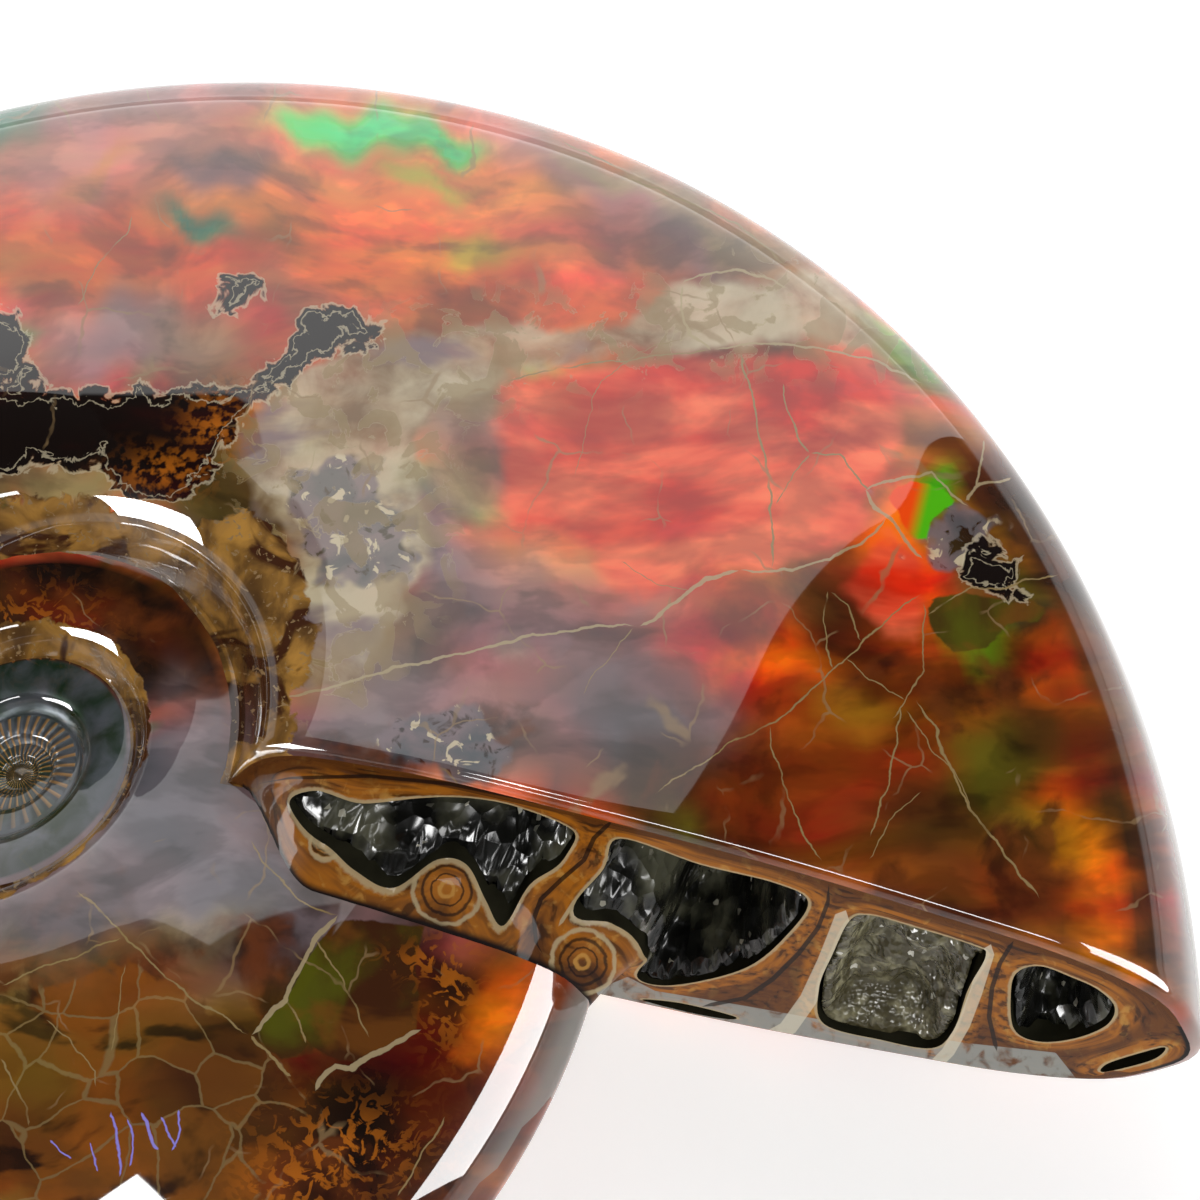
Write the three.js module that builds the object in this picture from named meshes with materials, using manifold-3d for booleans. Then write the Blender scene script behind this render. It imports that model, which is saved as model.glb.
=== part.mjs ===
// A polished Craspedodiscus ammonite with one cut end, about 80 mm across, lying on its flank.
// The shell is one logarithmic spiral: each section is the same outline, shrunk in proportion as
// it winds back from the cut end to the first chamber. The cut end shows hollow chambers, each
// lined by one crust of pyrite crystals. Millimetres, +Z up, origin on the resting surface.

import * as THREE from 'three';
import { mergeVertices } from 'three/addons/utils/BufferGeometryUtils.js';
import Module from 'manifold-3d';

// Driving dimensions of the coil
const GROWTH_PER_TURN = 1.886;
const WHORL_COUNT = 4.5;
const SEAM_RADIUS = 10.07;
const FIRST_CHAMBER_RADIUS = 0.8;
const FIRST_CHAMBER_FLATNESS = 0.55;

// The last section as radius and half thickness: the umbilical wall, whose foot is buried in the
// whorl inside it, then the flank from the umbilical shoulder out to the keel
const WALL = [[9.4, 3.37], [11.5, 7.2]];
const FLANK = [
  [13.5, 8.36], [17, 8.68], [22.5, 8.52], [30, 7.95], [36, 6.99],
  [40.5, 6.03], [43.8, 4.34], [45.45, 1.85],
];
const KEEL_RADIUS = 46;

// Fineness of the facets
const OUTER_STEPS_PER_TURN = 48;
const INNER_STEPS_PER_TURN = 30;
const POINTS_BETWEEN_MARKS = 2;

// The cut end: its lean out of the radial plane, and the flare where it meets the whorl inside it
const FACE_LEAN = 0.0476;
const FLARE_HEIGHT = 3.2;
const FLARE_ANGLE = 0.165;
const FLARE_ROOT_ANGLE = 0.06;
const FLARE_STEPS = 5;
const FLARE_SINK = 0.1;

// Hollows of the cut end, as radius and height on the face: depth, and outline points
const CHAMBERS = {
  inner: {
    depth: 4.6,
    lining: 0.6,
    marks: [
      [12.9, 5.5], [14.0, 6.3], [15.7, 6.2], [17.8, 6.7], [19.7, 7.4], [21.3, 7.5], [23.2, 6.7],
      [22.9, 5.0], [21.9, 4.4], [21.3, 3.7], [20.5, 4.2], [19.6, 4.9], [18.6, 5.0], [17.3, 4.5],
      [15.8, 4.8], [14.6, 5.2],
    ],
  },
  middle: {
    depth: 5.2,
    lining: 0.6,
    marks: [
      [24.9, 6.9], [24.3, 4.6], [23.5, 3.5], [24.8, 2.5], [25.8, 0.6], [25.9, -2.4], [25.4, -5.2],
      [26.4, -5.5], [28.1, -3.9], [29.8, -1.4], [30.9, 1.9], [31.5, 5.3], [30.3, 6.2], [27.7, 6.3],
    ],
  },
  outer: {
    depth: 2.4,
    lining: 0.4,
    marks: [
      [33.0, 4.6], [33.6, 5.4], [35.0, 5.3], [37.2, 4.9], [37.7, 4.3], [37.6, 1.2], [37.7, -2.9],
      [37.2, -5.2], [35.3, -5.6], [33.0, -5.4], [32.5, -2.0], [32.7, 1.5],
    ],
  },
  keel: {
    depth: 4.8,
    lining: 0.7,
    marks: [
      [39.0, 1.8], [38.9, 3.6], [39.5, 4.5], [40.6, 4.2], [41.6, 3.7], [42.4, 2.6], [42.5, 0.9],
      [41.8, -0.9], [40.7, -2.0], [39.7, -1.4],
    ],
  },
};
const CRUST_GAP = 0.3;
const CRUST_CELL = 0.9;
const CRUST_DISH = 2.2;
const CRUST_LUMP = 0.28;
const SIDE_PIT = { depth: 1.6, marks: [[25.6, -7.6], [27.2, -6.9], [29.4, -6.9], [29.2, -7.4], [27.6, -7.7]] };
const KEEL_SLIT = { depth: 2.0, marks: [[43.4, -3.4], [43.3, -2.6], [44.0, -1.0], [44.7, 0.2], [44.6, -1.2]] };
const CUT_CLEARANCE = 6;
const GAP_DIRECTIONS = 8;

// How it lies: turns that set the flank level, and the flat rubbed where it rests
const REST_PITCH = THREE.MathUtils.degToRad(-0.8);
const REST_ROLL = THREE.MathUtils.degToRad(-3.17);
const RUBBED_FLAT = 0.3;

const TURN = 2 * Math.PI;
const GROWTH = Math.log(GROWTH_PER_TURN) / TURN;

const wasm = await Module();
wasm.setup();

function toSolid(geometry) {
  const bare = geometry.clone();
  bare.deleteAttribute('normal');
  bare.deleteAttribute('uv');
  const merged = mergeVertices(bare, 1e-5);
  return new wasm.Manifold(new wasm.Mesh({
    numProp: 3,
    vertProperties: new Float32Array(merged.attributes.position.array),
    triVerts: new Uint32Array(merged.index.array),
  }));
}

function toGeometry(solid) {
  const mesh = solid.getMesh();
  const geometry = new THREE.BufferGeometry();
  geometry.setAttribute('position', new THREE.BufferAttribute(new Float32Array(mesh.vertProperties), 3));
  geometry.setIndex(new THREE.BufferAttribute(new Uint32Array(mesh.triVerts), 1));
  geometry.computeVertexNormals();
  return geometry;
}

// Closed outline of a section, upper side first, as (radius, height) points
const flankMarks = FLANK.map(([r, z]) => new THREE.Vector2(r, z));
const flankCurve = new THREE.SplineCurve([
  ...flankMarks,
  new THREE.Vector2(KEEL_RADIUS, 0),
  ...flankMarks.map((p) => new THREE.Vector2(p.x, -p.y)).reverse(),
]);
const flankLine = flankCurve.getPoints(2 * FLANK.length * POINTS_BETWEEN_MARKS);
const wallLine = WALL.map(([r, z]) => new THREE.Vector2(r, z));
const section = [
  ...wallLine,
  ...flankLine,
  ...wallLine.map((p) => new THREE.Vector2(p.x, -p.y)).reverse(),
];

// A point of the shell, wound back by an angle from the cut end
function onSpiral(angle, radius, height) {
  const size = Math.exp(-GROWTH * angle);
  return new THREE.Vector3(
    radius * size * Math.cos(angle),
    radius * size * Math.sin(angle),
    height * size,
  );
}

// Skin through rings of equal length, closed at both ends
function loft(rings, outline) {
  const count = rings[0].length;
  const positions = rings.flat().flatMap((p) => [p.x, p.y, p.z]);
  const index = [];
  for (let ring = 0; ring < rings.length - 1; ring += 1) {
    for (let i = 0; i < count; i += 1) {
      const a = ring * count + i;
      const b = ring * count + ((i + 1) % count);
      index.push(a, b, a + count, b, b + count, a + count);
    }
  }
  const last = (rings.length - 1) * count;
  for (const [a, b, c] of THREE.ShapeUtils.triangulateShape(outline, [])) {
    const clockwise = THREE.ShapeUtils.area([outline[a], outline[b], outline[c]]) < 0;
    const [p, q, r] = clockwise ? [a, c, b] : [a, b, c];
    index.push(p, q, r, last + p, last + r, last + q);
  }
  const geometry = new THREE.BufferGeometry();
  geometry.setAttribute('position', new THREE.Float32BufferAttribute(positions, 3));
  geometry.setIndex(index);
  return geometry;
}

function whorlPiece(fromTurn, toTurn, stepsPerTurn) {
  const steps = Math.round((toTurn - fromTurn) * stepsPerTurn);
  const rings = [];
  for (let step = 0; step <= steps; step += 1) {
    const angle = TURN * (fromTurn + (toTurn - fromTurn) * step / steps);
    const onFace = angle === 0;
    rings.push(section.map((p) => (onFace
      ? new THREE.Vector3(p.x, FACE_LEAN * p.y, p.y)
      : onSpiral(angle, p.x, p.y))));
  }
  return toSolid(loft(rings, section));
}

// The inner whorl's outline beside the cut end, from its flank round the keel
const flareStart = flankLine.findIndex((p) => p.x >= SEAM_RADIUS * GROWTH_PER_TURN);
const flareLine = flankLine.slice(flareStart, flankLine.length - flareStart);

// The flare: a hollow fillet round the inner whorl, in front of the cut end
function flare() {
  const [start] = flareLine;
  const outline = [
    new THREE.Vector2(start.x, 0.5 * start.y),
    ...flareLine,
    new THREE.Vector2(start.x, -0.5 * start.y),
  ];
  const rings = [];
  for (let step = 0; step <= FLARE_STEPS; step += 1) {
    const along = 1 - step / FLARE_STEPS;
    rings.push([TURN - FLARE_ANGLE * along, FLARE_HEIGHT * (1 - Math.sqrt(along))]);
  }
  rings.push([TURN + FLARE_ROOT_ANGLE, FLARE_HEIGHT]);
  return toSolid(loft(rings.map(([angle, height]) => {
    const rise = height * GROWTH_PER_TURN - FLARE_SINK;
    return outline.map((p, i) => {
      if (i === 0 || i === outline.length - 1) {
        return onSpiral(angle, p.x, p.y);
      }
      const ahead = outline[i + 1];
      const behind = outline[i - 1];
      const slope = new THREE.Vector2(behind.y - ahead.y, ahead.x - behind.x).normalize();
      return onSpiral(angle, p.x + rise * slope.x, p.y + rise * slope.y);
    });
  }), outline));
}

// A straight-sided block under the face, over a closed outline of face points
function prism(points, front, back) {
  const geometry = new THREE.ExtrudeGeometry(new THREE.Shape(points), {
    depth: back - front,
    bevelEnabled: false,
  });
  geometry.translate(0, 0, -back);
  geometry.rotateX(Math.PI / 2);
  return toSolid(geometry);
}

function smoothOutline(marks, perMark) {
  const curve = new THREE.CatmullRomCurve3(
    marks.map(([r, z]) => new THREE.Vector3(r, z, 0)), true, 'centripetal');
  return curve.getPoints(marks.length * perMark).slice(0, -1).map((p) => new THREE.Vector2(p.x, p.y));
}

// The same block, smaller by a gap all round: what copies of it, moved each way, have in common
function prismWithGap(points, gap, front, back) {
  let solid = prism(points, front, back);
  for (let way = 0; way < GAP_DIRECTIONS; way += 1) {
    const angle = TURN * way / GAP_DIRECTIONS;
    const step = new THREE.Vector2(gap * Math.cos(angle), gap * Math.sin(angle));
    solid = solid.intersect(prism(points.map((p) => p.clone().add(step)), front, back));
  }
  return solid;
}

function distanceToOutline(x, y, points) {
  let nearest = Infinity;
  const here = new THREE.Vector3(x, y, 0);
  const onLine = new THREE.Vector3();
  const line = new THREE.Line3();
  points.forEach((p, i) => {
    const q = points[(i + 1) % points.length];
    line.start.set(p.x, p.y, 0);
    line.end.set(q.x, q.y, 0);
    line.closestPointToPoint(here, true, onLine);
    nearest = Math.min(nearest, onLine.distanceTo(here));
  });
  return nearest;
}

// How far back the cut end lies at a point: its lean, less the flare beside the inner whorl
const innerWhorlOutline = flareLine.map((p) => p.clone().divideScalar(GROWTH_PER_TURN));
function faceDepth(x, z) {
  const away = Math.min(distanceToOutline(x, z, innerWhorlOutline) / FLARE_HEIGHT, 1);
  return FACE_LEAN * z - FLARE_ANGLE * x * (1 - away) ** 2;
}

// Lumps of the crystal crust, the same on every build
function lump(x, y) {
  return Math.sin(3.1 * x + 1.7 * y) * Math.sin(2.3 * y - 1.1 * x + 0.7) + 0.6 * Math.sin(5.3 * x - 4.1 * y);
}

// One crust that lines a hollow: dished in the middle, standing higher along the walls
function crust(chamber) {
  const outline = smoothOutline(chamber.marks, 2);
  const box = new THREE.Box2().setFromPoints(outline).expandByScalar(CRUST_CELL);
  const size = box.getSize(new THREE.Vector2());
  const columns = Math.ceil(size.x / CRUST_CELL);
  const rows = Math.ceil(size.y / CRUST_CELL);
  const back = chamber.depth - CRUST_GAP;
  const deepest = back - 0.6;
  const top = [];
  const bottom = [];
  for (let row = 0; row <= rows; row += 1) {
    for (let column = 0; column <= columns; column += 1) {
      const x = box.min.x + size.x * column / columns;
      const y = box.min.y + size.y * row / rows;
      const dish = CRUST_DISH * (1 - Math.exp(-distanceToOutline(x, y, outline) / 1.3));
      const depth = faceDepth(x, y) + chamber.lining + dish + CRUST_LUMP * lump(x, y);
      top.push(new THREE.Vector3(x, Math.min(depth, deepest), y));
      bottom.push(new THREE.Vector3(x, back + 2, y));
    }
  }
  const wide = columns + 1;
  const under = top.length;
  const index = [];
  for (let row = 0; row < rows; row += 1) {
    for (let column = 0; column < columns; column += 1) {
      const a = row * wide + column;
      const b = a + 1;
      const c = a + wide;
      const d = c + 1;
      index.push(a, b, d, a, d, c, under + a, under + d, under + b, under + a, under + c, under + d);
    }
  }
  const rim = [];
  for (let column = 0; column < columns; column += 1) rim.push(column);
  for (let row = 0; row < rows; row += 1) rim.push(row * wide + columns);
  for (let column = columns; column > 0; column -= 1) rim.push(rows * wide + column);
  for (let row = rows; row > 0; row -= 1) rim.push(row * wide);
  rim.forEach((a, i) => {
    const b = rim[(i + 1) % rim.length];
    index.push(a, under + a, under + b, a, under + b, b);
  });
  const geometry = new THREE.BufferGeometry();
  geometry.setAttribute('position', new THREE.Float32BufferAttribute(
    [...top, ...bottom].flatMap((p) => [p.x, p.y, p.z]), 3));
  geometry.setIndex(index);
  return toSolid(geometry).intersect(prismWithGap(outline, CRUST_GAP, -CUT_CLEARANCE, back));
}

function fossil() {
  const firstChamber = new THREE.SphereGeometry(FIRST_CHAMBER_RADIUS, 14, 8);
  firstChamber.rotateX(Math.PI / 2);
  firstChamber.scale(1, 1, FIRST_CHAMBER_FLATNESS);
  let solid = toSolid(firstChamber);
  for (let turn = 0; turn < WHORL_COUNT; turn += 0.5) {
    const steps = turn < 1 ? OUTER_STEPS_PER_TURN : INNER_STEPS_PER_TURN;
    solid = solid.add(whorlPiece(turn, turn + 0.5, steps));
  }
  solid = solid.add(flare());
  for (const chamber of Object.values(CHAMBERS)) {
    solid = solid.subtract(prism(smoothOutline(chamber.marks, 2), -CUT_CLEARANCE, chamber.depth));
  }
  for (const pit of [SIDE_PIT, KEEL_SLIT]) {
    solid = solid.subtract(prism(smoothOutline(pit.marks, 2), -CUT_CLEARANCE, pit.depth));
  }
  return solid;
}

// Level the flank, rub the flat, and bring the underside to the resting surface
const levelling = new THREE.Matrix4().makeRotationFromEuler(new THREE.Euler(REST_PITCH, REST_ROLL, 0));
const levelled = toSolid(toGeometry(fossil()).applyMatrix4(levelling));
const lowest = levelled.boundingBox().min[2] + RUBBED_FLAT;
const ground = new THREE.BoxGeometry(4 * KEEL_RADIUS, 4 * KEEL_RADIUS, KEEL_RADIUS);
ground.translate(0, 0, lowest - KEEL_RADIUS / 2);
const resting = levelled.subtract(toSolid(ground));
const reach = resting.boundingBox();

const STONE = new THREE.MeshStandardMaterial({ color: 0x7a3320, roughness: 0.12, metalness: 0.1 });
const PYRITE = new THREE.MeshStandardMaterial({ color: 0x2a2a20, roughness: 0.35, metalness: 0.5 });

const group = new THREE.Group();
const placed = new THREE.Group();
placed.position.set(-(reach.min[0] + reach.max[0]) / 2, -(reach.min[1] + reach.max[1]) / 2, -lowest);
group.add(placed);

const body = new THREE.Mesh(toGeometry(resting), STONE);
body.name = 'ammonite';
placed.add(body);

for (const [name, chamber] of Object.entries(CHAMBERS)) {
  const lining = new THREE.Mesh(toGeometry(crust(chamber)), PYRITE);
  lining.name = `${name}_chamber_crust`;
  lining.setRotationFromMatrix(levelling);
  placed.add(lining);
}

export default group;
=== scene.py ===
import math

import bpy
import numpy as np
from mathutils import Euler, Matrix, Vector, noise
from mathutils.geometry import delaunay_2d_cdt


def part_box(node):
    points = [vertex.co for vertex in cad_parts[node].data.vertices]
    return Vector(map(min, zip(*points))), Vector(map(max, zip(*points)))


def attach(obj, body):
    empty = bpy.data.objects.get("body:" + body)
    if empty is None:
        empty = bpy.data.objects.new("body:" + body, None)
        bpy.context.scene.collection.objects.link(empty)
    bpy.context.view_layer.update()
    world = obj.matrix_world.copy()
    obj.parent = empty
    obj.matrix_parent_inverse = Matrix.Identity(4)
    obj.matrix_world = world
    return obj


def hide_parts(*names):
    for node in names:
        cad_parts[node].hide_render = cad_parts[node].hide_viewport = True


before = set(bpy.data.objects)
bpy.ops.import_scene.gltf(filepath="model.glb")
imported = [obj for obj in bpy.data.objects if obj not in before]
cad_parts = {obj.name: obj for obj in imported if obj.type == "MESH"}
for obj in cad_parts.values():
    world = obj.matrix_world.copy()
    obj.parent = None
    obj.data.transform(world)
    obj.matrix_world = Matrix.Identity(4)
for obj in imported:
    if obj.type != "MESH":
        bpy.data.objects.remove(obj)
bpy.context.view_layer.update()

bpy.ops.object.select_all(action='DESELECT')


# The coil
# An ammonite grows by adding to its mouth, and every length grows in the same proportion each
# turn. So one section, given at the cut end as distance from the axis and half thickness, is
# shrunk and turned back along a logarithmic spiral. The polished skin is one closed surface.
GROWTH_PER_TURN = 1.886
COVER_RADIUS = 0.01899
COVER_HEIGHT = 0.00868
SECTION_MARKS = [
    (0.0115, 0.0070), (0.0135, 0.0081), (0.0162, 0.00849), (COVER_RADIUS, COVER_HEIGHT), (0.0240, 0.00843),
    (0.0300, 0.00795), (0.0360, 0.00699), (0.0405, 0.00603), (0.0438, 0.00434), (0.04545, 0.00185),
]
KEEL_RADIUS = 0.046
SEAM = (COVER_RADIUS / GROWTH_PER_TURN, COVER_HEIGHT / GROWTH_PER_TURN)
POINTS_BETWEEN_MARKS = [4, 4, 2, 2, 8, 9, 9, 7, 5, 4, 3]
STEPS_PER_TURN = 400
FINE_STEPS = 300
FACE_LEAN = 0.0476
EDGE_ROUND = 0.00045
EDGE_STEPS = 5
EDGE_SETTLE = math.radians(16)
FIRST_CHAMBER_RADIUS = 0.00062
FIRST_CHAMBER_HEIGHT = 0.00045
FIRST_CHAMBER_RINGS = 8
TURN = 2 * math.pi
GROWTH = math.log(GROWTH_PER_TURN) / TURN


def smooth_line(marks, point_counts, closed=False):
    """A smooth line through given marks, with a number of points for each pair of them."""
    marks = np.array(marks, float)
    count = len(marks)
    line = []
    for span, points in enumerate(point_counts):
        if closed:
            picks = [(span + k) % count for k in (-1, 0, 1, 2)]
        else:
            picks = [max(span - 1, 0), span, span + 1, min(span + 2, count - 1)]
        before, start, end, after = marks[picks]
        for step in range(points):
            t = step / points
            line.append(0.5 * (2 * start + (end - before) * t
                               + (2 * before - 5 * start + 4 * end - after) * t ** 2
                               + (3 * start - before - 3 * end + after) * t ** 3))
    if not closed:
        line.append(marks[-1])
    return np.array(line)


upper_marks = [SEAM] + SECTION_MARKS
lower_marks = [(r, -z) for r, z in reversed(upper_marks)]
section = smooth_line(upper_marks + [(KEEL_RADIUS, 0.0)] + lower_marks,
                      POINTS_BETWEEN_MARKS + POINTS_BETWEEN_MARKS[::-1])
cover = sum(POINTS_BETWEEN_MARKS[:4])
inner_wall = section[:cover + 1]


def wound(angles, outline):
    """Section points wound back from the cut end, by one angle or by an angle for each point."""
    size = np.exp(-GROWTH * angles)
    return np.stack([outline[:, 0] * size * np.cos(angles),
                     outline[:, 0] * size * np.sin(angles),
                     outline[:, 1] * size], axis=1)


class Skin:
    """Vertices and faces gathered sheet by sheet, then joined where the sheets meet."""

    def __init__(self):
        self.points = []
        self.faces = []
        self.surfaces = []
        self.size = 0

    def add(self, points, faces, surface=0):
        self.points.append(np.asarray(points, float))
        self.faces += [tuple(corner + self.size for corner in face) for face in faces]
        self.surfaces += [surface] * len(faces)
        self.size += len(points)

    def sheet(self, rows, flip=False, surface=0):
        wide = len(rows[0])
        faces = []
        for row in range(len(rows) - 1):
            for i in range(wide - 1):
                a = row * wide + i
                quad = (a, a + 1, a + wide + 1, a + wide)
                faces.append(quad[::-1] if flip else quad)
        self.add(np.concatenate(rows), faces, surface)


skin = Skin()
half_turn = TURN / 2
turn_angles = np.concatenate([
    np.linspace(0, half_turn, FINE_STEPS + 1)[:-1],
    np.linspace(half_turn, TURN, STEPS_PER_TURN - FINE_STEPS + 1)[:-1]])
whorl_angles = np.concatenate([turn_angles + whorl * TURN for whorl in range(5)])
last_step = 4 * STEPS_PER_TURN + FINE_STEPS

# The outermost whorl, from the rounded edge of the cut end back through one turn
along = np.gradient(section, axis=0)
outward = np.stack([-along[:, 1], along[:, 0]], axis=1) / np.linalg.norm(along, axis=1)[:, None]
from_seam = np.minimum(np.arange(len(section)), np.arange(len(section))[::-1])
seam_fade = np.clip(from_seam / 5, 0, 1)
rows = []
for step in range(EDGE_STEPS):
    lift = 0.5 * math.pi * step / EDGE_STEPS
    inset = EDGE_ROUND * (1 - math.sin(lift)) * seam_fade
    behind = (FACE_LEAN * section[:, 1] + EDGE_ROUND * (1 - math.cos(lift))) * seam_fade
    ring = section - outward * inset[:, None]
    rows.append(wound(behind / ring[:, 0], ring))
edge_angle = (FACE_LEAN * section[:, 1] + EDGE_ROUND) * seam_fade / section[:, 0]
for angle in whorl_angles[:STEPS_PER_TURN + 1]:
    settle = max(0.0, 1 - angle / EDGE_SETTLE)
    rows.append(wound(angle + edge_angle * settle, section))
skin.sheet(rows)
face_edge = rows[0]
dorsal_edge = rows[-1][cover:len(section) - cover]

# What shows of the inner whorls in the umbilicus, on both flanks
inner_rows = [wound(angle, inner_wall) for angle in whorl_angles[STEPS_PER_TURN:last_step + 1]]
skin.sheet(inner_rows)
skin.sheet([row * (1, 1, -1) for row in inner_rows], flip=True)

# The first chamber closes the middle of the coil
last = inner_rows[-1]
for side in (1, -1):
    spiral = [row[0] * (1, 1, side) for row in inner_rows[-STEPS_PER_TURN - 1:]]
    loop = np.concatenate([spiral, last[1:-1] * (1, 1, side)])
    middle = np.array([[0, 0, FIRST_CHAMBER_HEIGHT * side]])
    count = len(loop)
    rings = [loop]
    for part in range(1, FIRST_CHAMBER_RINGS):
        share = part / FIRST_CHAMBER_RINGS
        ring = loop * (1 - share)
        reach = np.linalg.norm(ring[:, :2], axis=1) / FIRST_CHAMBER_RADIUS
        dome = FIRST_CHAMBER_HEIGHT * np.sqrt(np.clip(1 - reach ** 2, 0, 1))
        ring[:, 2] = side * np.maximum(dome, np.abs(loop[:, 2]) * (1 - share))
        rings.append(ring)
    closed = [np.concatenate([ring, ring[:1]]) for ring in rings]
    skin.sheet(closed, flip=side > 0)
    skin.add(middle, [(i - count - 1, i - count, 0) for i in range(count)])


# The cut end
# The shell ends in one flat, polished break across the whorl. Towards the whorl inside it the
# break turns forward in a smooth flare, and three septa part the hollow chambers, which open here.
CHAMBERS = {
    "inner_chamber": dict(depth=0.0046, lining=0.0006, marks=[
        (12.9, 5.5), (14.0, 6.3), (15.7, 6.2), (17.8, 6.7), (19.7, 7.4), (21.3, 7.5), (23.2, 6.7),
        (22.9, 5.0), (21.9, 4.4), (21.3, 3.7), (20.5, 4.2), (19.6, 4.9), (18.6, 5.0), (17.3, 4.5),
        (15.8, 4.8), (14.6, 5.2)]),
    "middle_chamber": dict(depth=0.0052, lining=0.0006, marks=[
        (24.9, 6.9), (24.3, 4.6), (23.5, 3.5), (24.8, 2.5), (25.8, 0.6), (25.9, -2.4), (25.4, -5.2),
        (26.4, -5.5), (28.1, -3.9), (29.8, -1.4), (30.9, 1.9), (31.5, 5.3), (30.3, 6.2), (27.7, 6.3)]),
    "outer_chamber": dict(depth=0.0024, lining=0.0004, marks=[
        (33.0, 4.6), (33.6, 5.4), (35.0, 5.3), (37.2, 4.9), (37.7, 4.3), (37.6, 1.2), (37.7, -2.9),
        (37.2, -5.2), (35.3, -5.6), (33.0, -5.4), (32.5, -2.0), (32.7, 1.5)]),
    "keel_chamber": dict(depth=0.0048, lining=0.0006, marks=[
        (39.0, 1.8), (38.9, 3.6), (39.5, 4.5), (40.6, 4.2), (41.6, 3.7), (42.4, 2.6), (42.5, 0.9),
        (41.8, -0.9), (40.7, -2.0), (39.7, -1.4)]),
    "side_pit": dict(depth=0.0016, marks=[
        (25.6, -7.6), (27.2, -6.9), (29.4, -6.9), (29.2, -7.4), (27.6, -7.7)]),
    "keel_slit": dict(depth=0.0020, marks=[
        (43.4, -3.4), (43.3, -2.6), (44.0, -1.0), (44.7, 0.2), (44.6, -1.2)]),
}
MM = 0.001
OUTLINE_PER_MARK = 8
FACE_CELL = 0.00033
FLARE_REACH = (0.0012, 0.0020)
FLARE_FORWARD = 0.0036
FLARE_RISE_WIDTH = 0.0045


def smooth_step(value):
    value = np.clip(value, 0, 1)
    return value * value * (3 - 2 * value)


def line_distance(points, line):
    """Distance from each flat point to an open line."""
    best = np.full(len(points), np.inf)
    for start, end in zip(line[:-1], line[1:]):
        run = end - start
        share = np.clip((points - start) @ run / max(run @ run, 1e-18), 0, 1)
        best = np.minimum(best, np.linalg.norm(points - start - share[:, None] * run, axis=1))
    return best


def is_inside(points, loop):
    inside = np.zeros(len(points), bool)
    for start, end in zip(loop, np.roll(loop, -1, axis=0)):
        spans = (start[1] > points[:, 1]) != (end[1] > points[:, 1])
        if spans.any():
            cross = start[0] + (points[:, 1] - start[1]) / (end[1] - start[1]) * (end[0] - start[0])
            inside ^= spans & (points[:, 0] < cross)
    return inside


def loop_distance(points, loop):
    """Signed distance to a closed loop, below zero inside."""
    away = line_distance(points, np.concatenate([loop, loop[:1]]))
    return np.where(is_inside(points, loop), -away, away)


CUT = 1
HOLLOW = 2
flat = (0, 2)
dorsal_line = dorsal_edge[:, flat]


def face_depth(points):
    """How far back the cut end lies at flat points of it."""
    beyond = smooth_step((points[:, 0] - SEAM[0]) / FLARE_RISE_WIDTH)
    reach = FLARE_REACH[0] + FLARE_REACH[1] * beyond
    near = 1 - np.clip(line_distance(points, dorsal_line) / reach, 0, 1)
    lean = FACE_LEAN * points[:, 1] * np.clip((points[:, 0] - SEAM[0]) / EDGE_ROUND / 2, 0, 1)
    return lean - FLARE_FORWARD * beyond * near ** 2


for chamber in CHAMBERS.values():
    marks = np.array(chamber["marks"]) * MM
    chamber["outline"] = smooth_line(marks, [OUTLINE_PER_MARK] * len(marks), closed=True)


def fill_flat(loops, cell):
    """Triangles between the first loop and the others, on an even net of points."""
    outer = loops[0]
    low, high = outer.min(axis=0), outer.max(axis=0)
    across = np.arange(low[0], high[0], cell)
    upward = np.arange(low[1], high[1], cell * 0.866)
    net = np.stack(np.meshgrid(across, upward), axis=-1)
    net[1::2, :, 0] += cell / 2
    net = net.reshape(-1, 2)
    keep = loop_distance(net, outer) < -0.55 * cell
    for loop in loops[1:]:
        keep &= loop_distance(net, loop) > 0.55 * cell
    corners = np.concatenate(loops + [net[keep]])
    edges = []
    start = 0
    for loop in loops:
        count = len(loop)
        edges += [(start + i, start + (i + 1) % count) for i in range(count)]
        start += count
    found, _, faces, source, _, _ = delaunay_2d_cdt(
        [Vector(c) for c in corners.tolist()], edges, [], 0, 1e-9)
    found = np.array([tuple(v) for v in found])
    faces = np.array([tuple(f) for f in faces])
    middle = found[faces].mean(axis=1)
    wanted = is_inside(middle, outer)
    for loop in loops[1:]:
        wanted &= ~is_inside(middle, loop)
    came_from = np.array([min(ids) if ids else -1 for ids in source])
    return found, faces[wanted], came_from


edge_loop = np.concatenate([face_edge[:, flat], dorsal_line[::-1][1:-1]])
edge_places = np.concatenate([face_edge, dorsal_edge[::-1][1:-1]])
found, triangles, came_from = fill_flat(
    [edge_loop] + [chamber["outline"] for chamber in CHAMBERS.values()], FACE_CELL)
face_points = np.stack([found[:, 0], face_depth(found), found[:, 1]], axis=1)
on_edge = (came_from >= 0) & (came_from < len(face_edge))
face_points[on_edge] = edge_places[came_from[on_edge]]
skin.add(face_points, triangles.tolist(), CUT)

# Under the foot of the flare the break runs back below the flank of the inner whorl
foot = np.stack([dorsal_line[:, 0], face_depth(dorsal_line), dorsal_line[:, 1]], axis=1)
skin.sheet([foot, dorsal_edge], surface=CUT)

# The straight walls and the floor of each hollow
WALL_DEPTHS = (0.0, 0.02, 0.08, 0.2, 0.4, 0.7, 1.0)
for chamber in CHAMBERS.values():
    outline = chamber["outline"]
    closed = np.concatenate([outline, outline[:1]])
    front = face_depth(closed)
    rings = [np.stack([closed[:, 0], front + (chamber["depth"] - front) * part, closed[:, 1]], axis=1)
             for part in WALL_DEPTHS]
    skin.sheet(rings, surface=HOLLOW)
    skin.add(rings[-1][:-1], [tuple(range(len(outline)))], HOLLOW)


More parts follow.
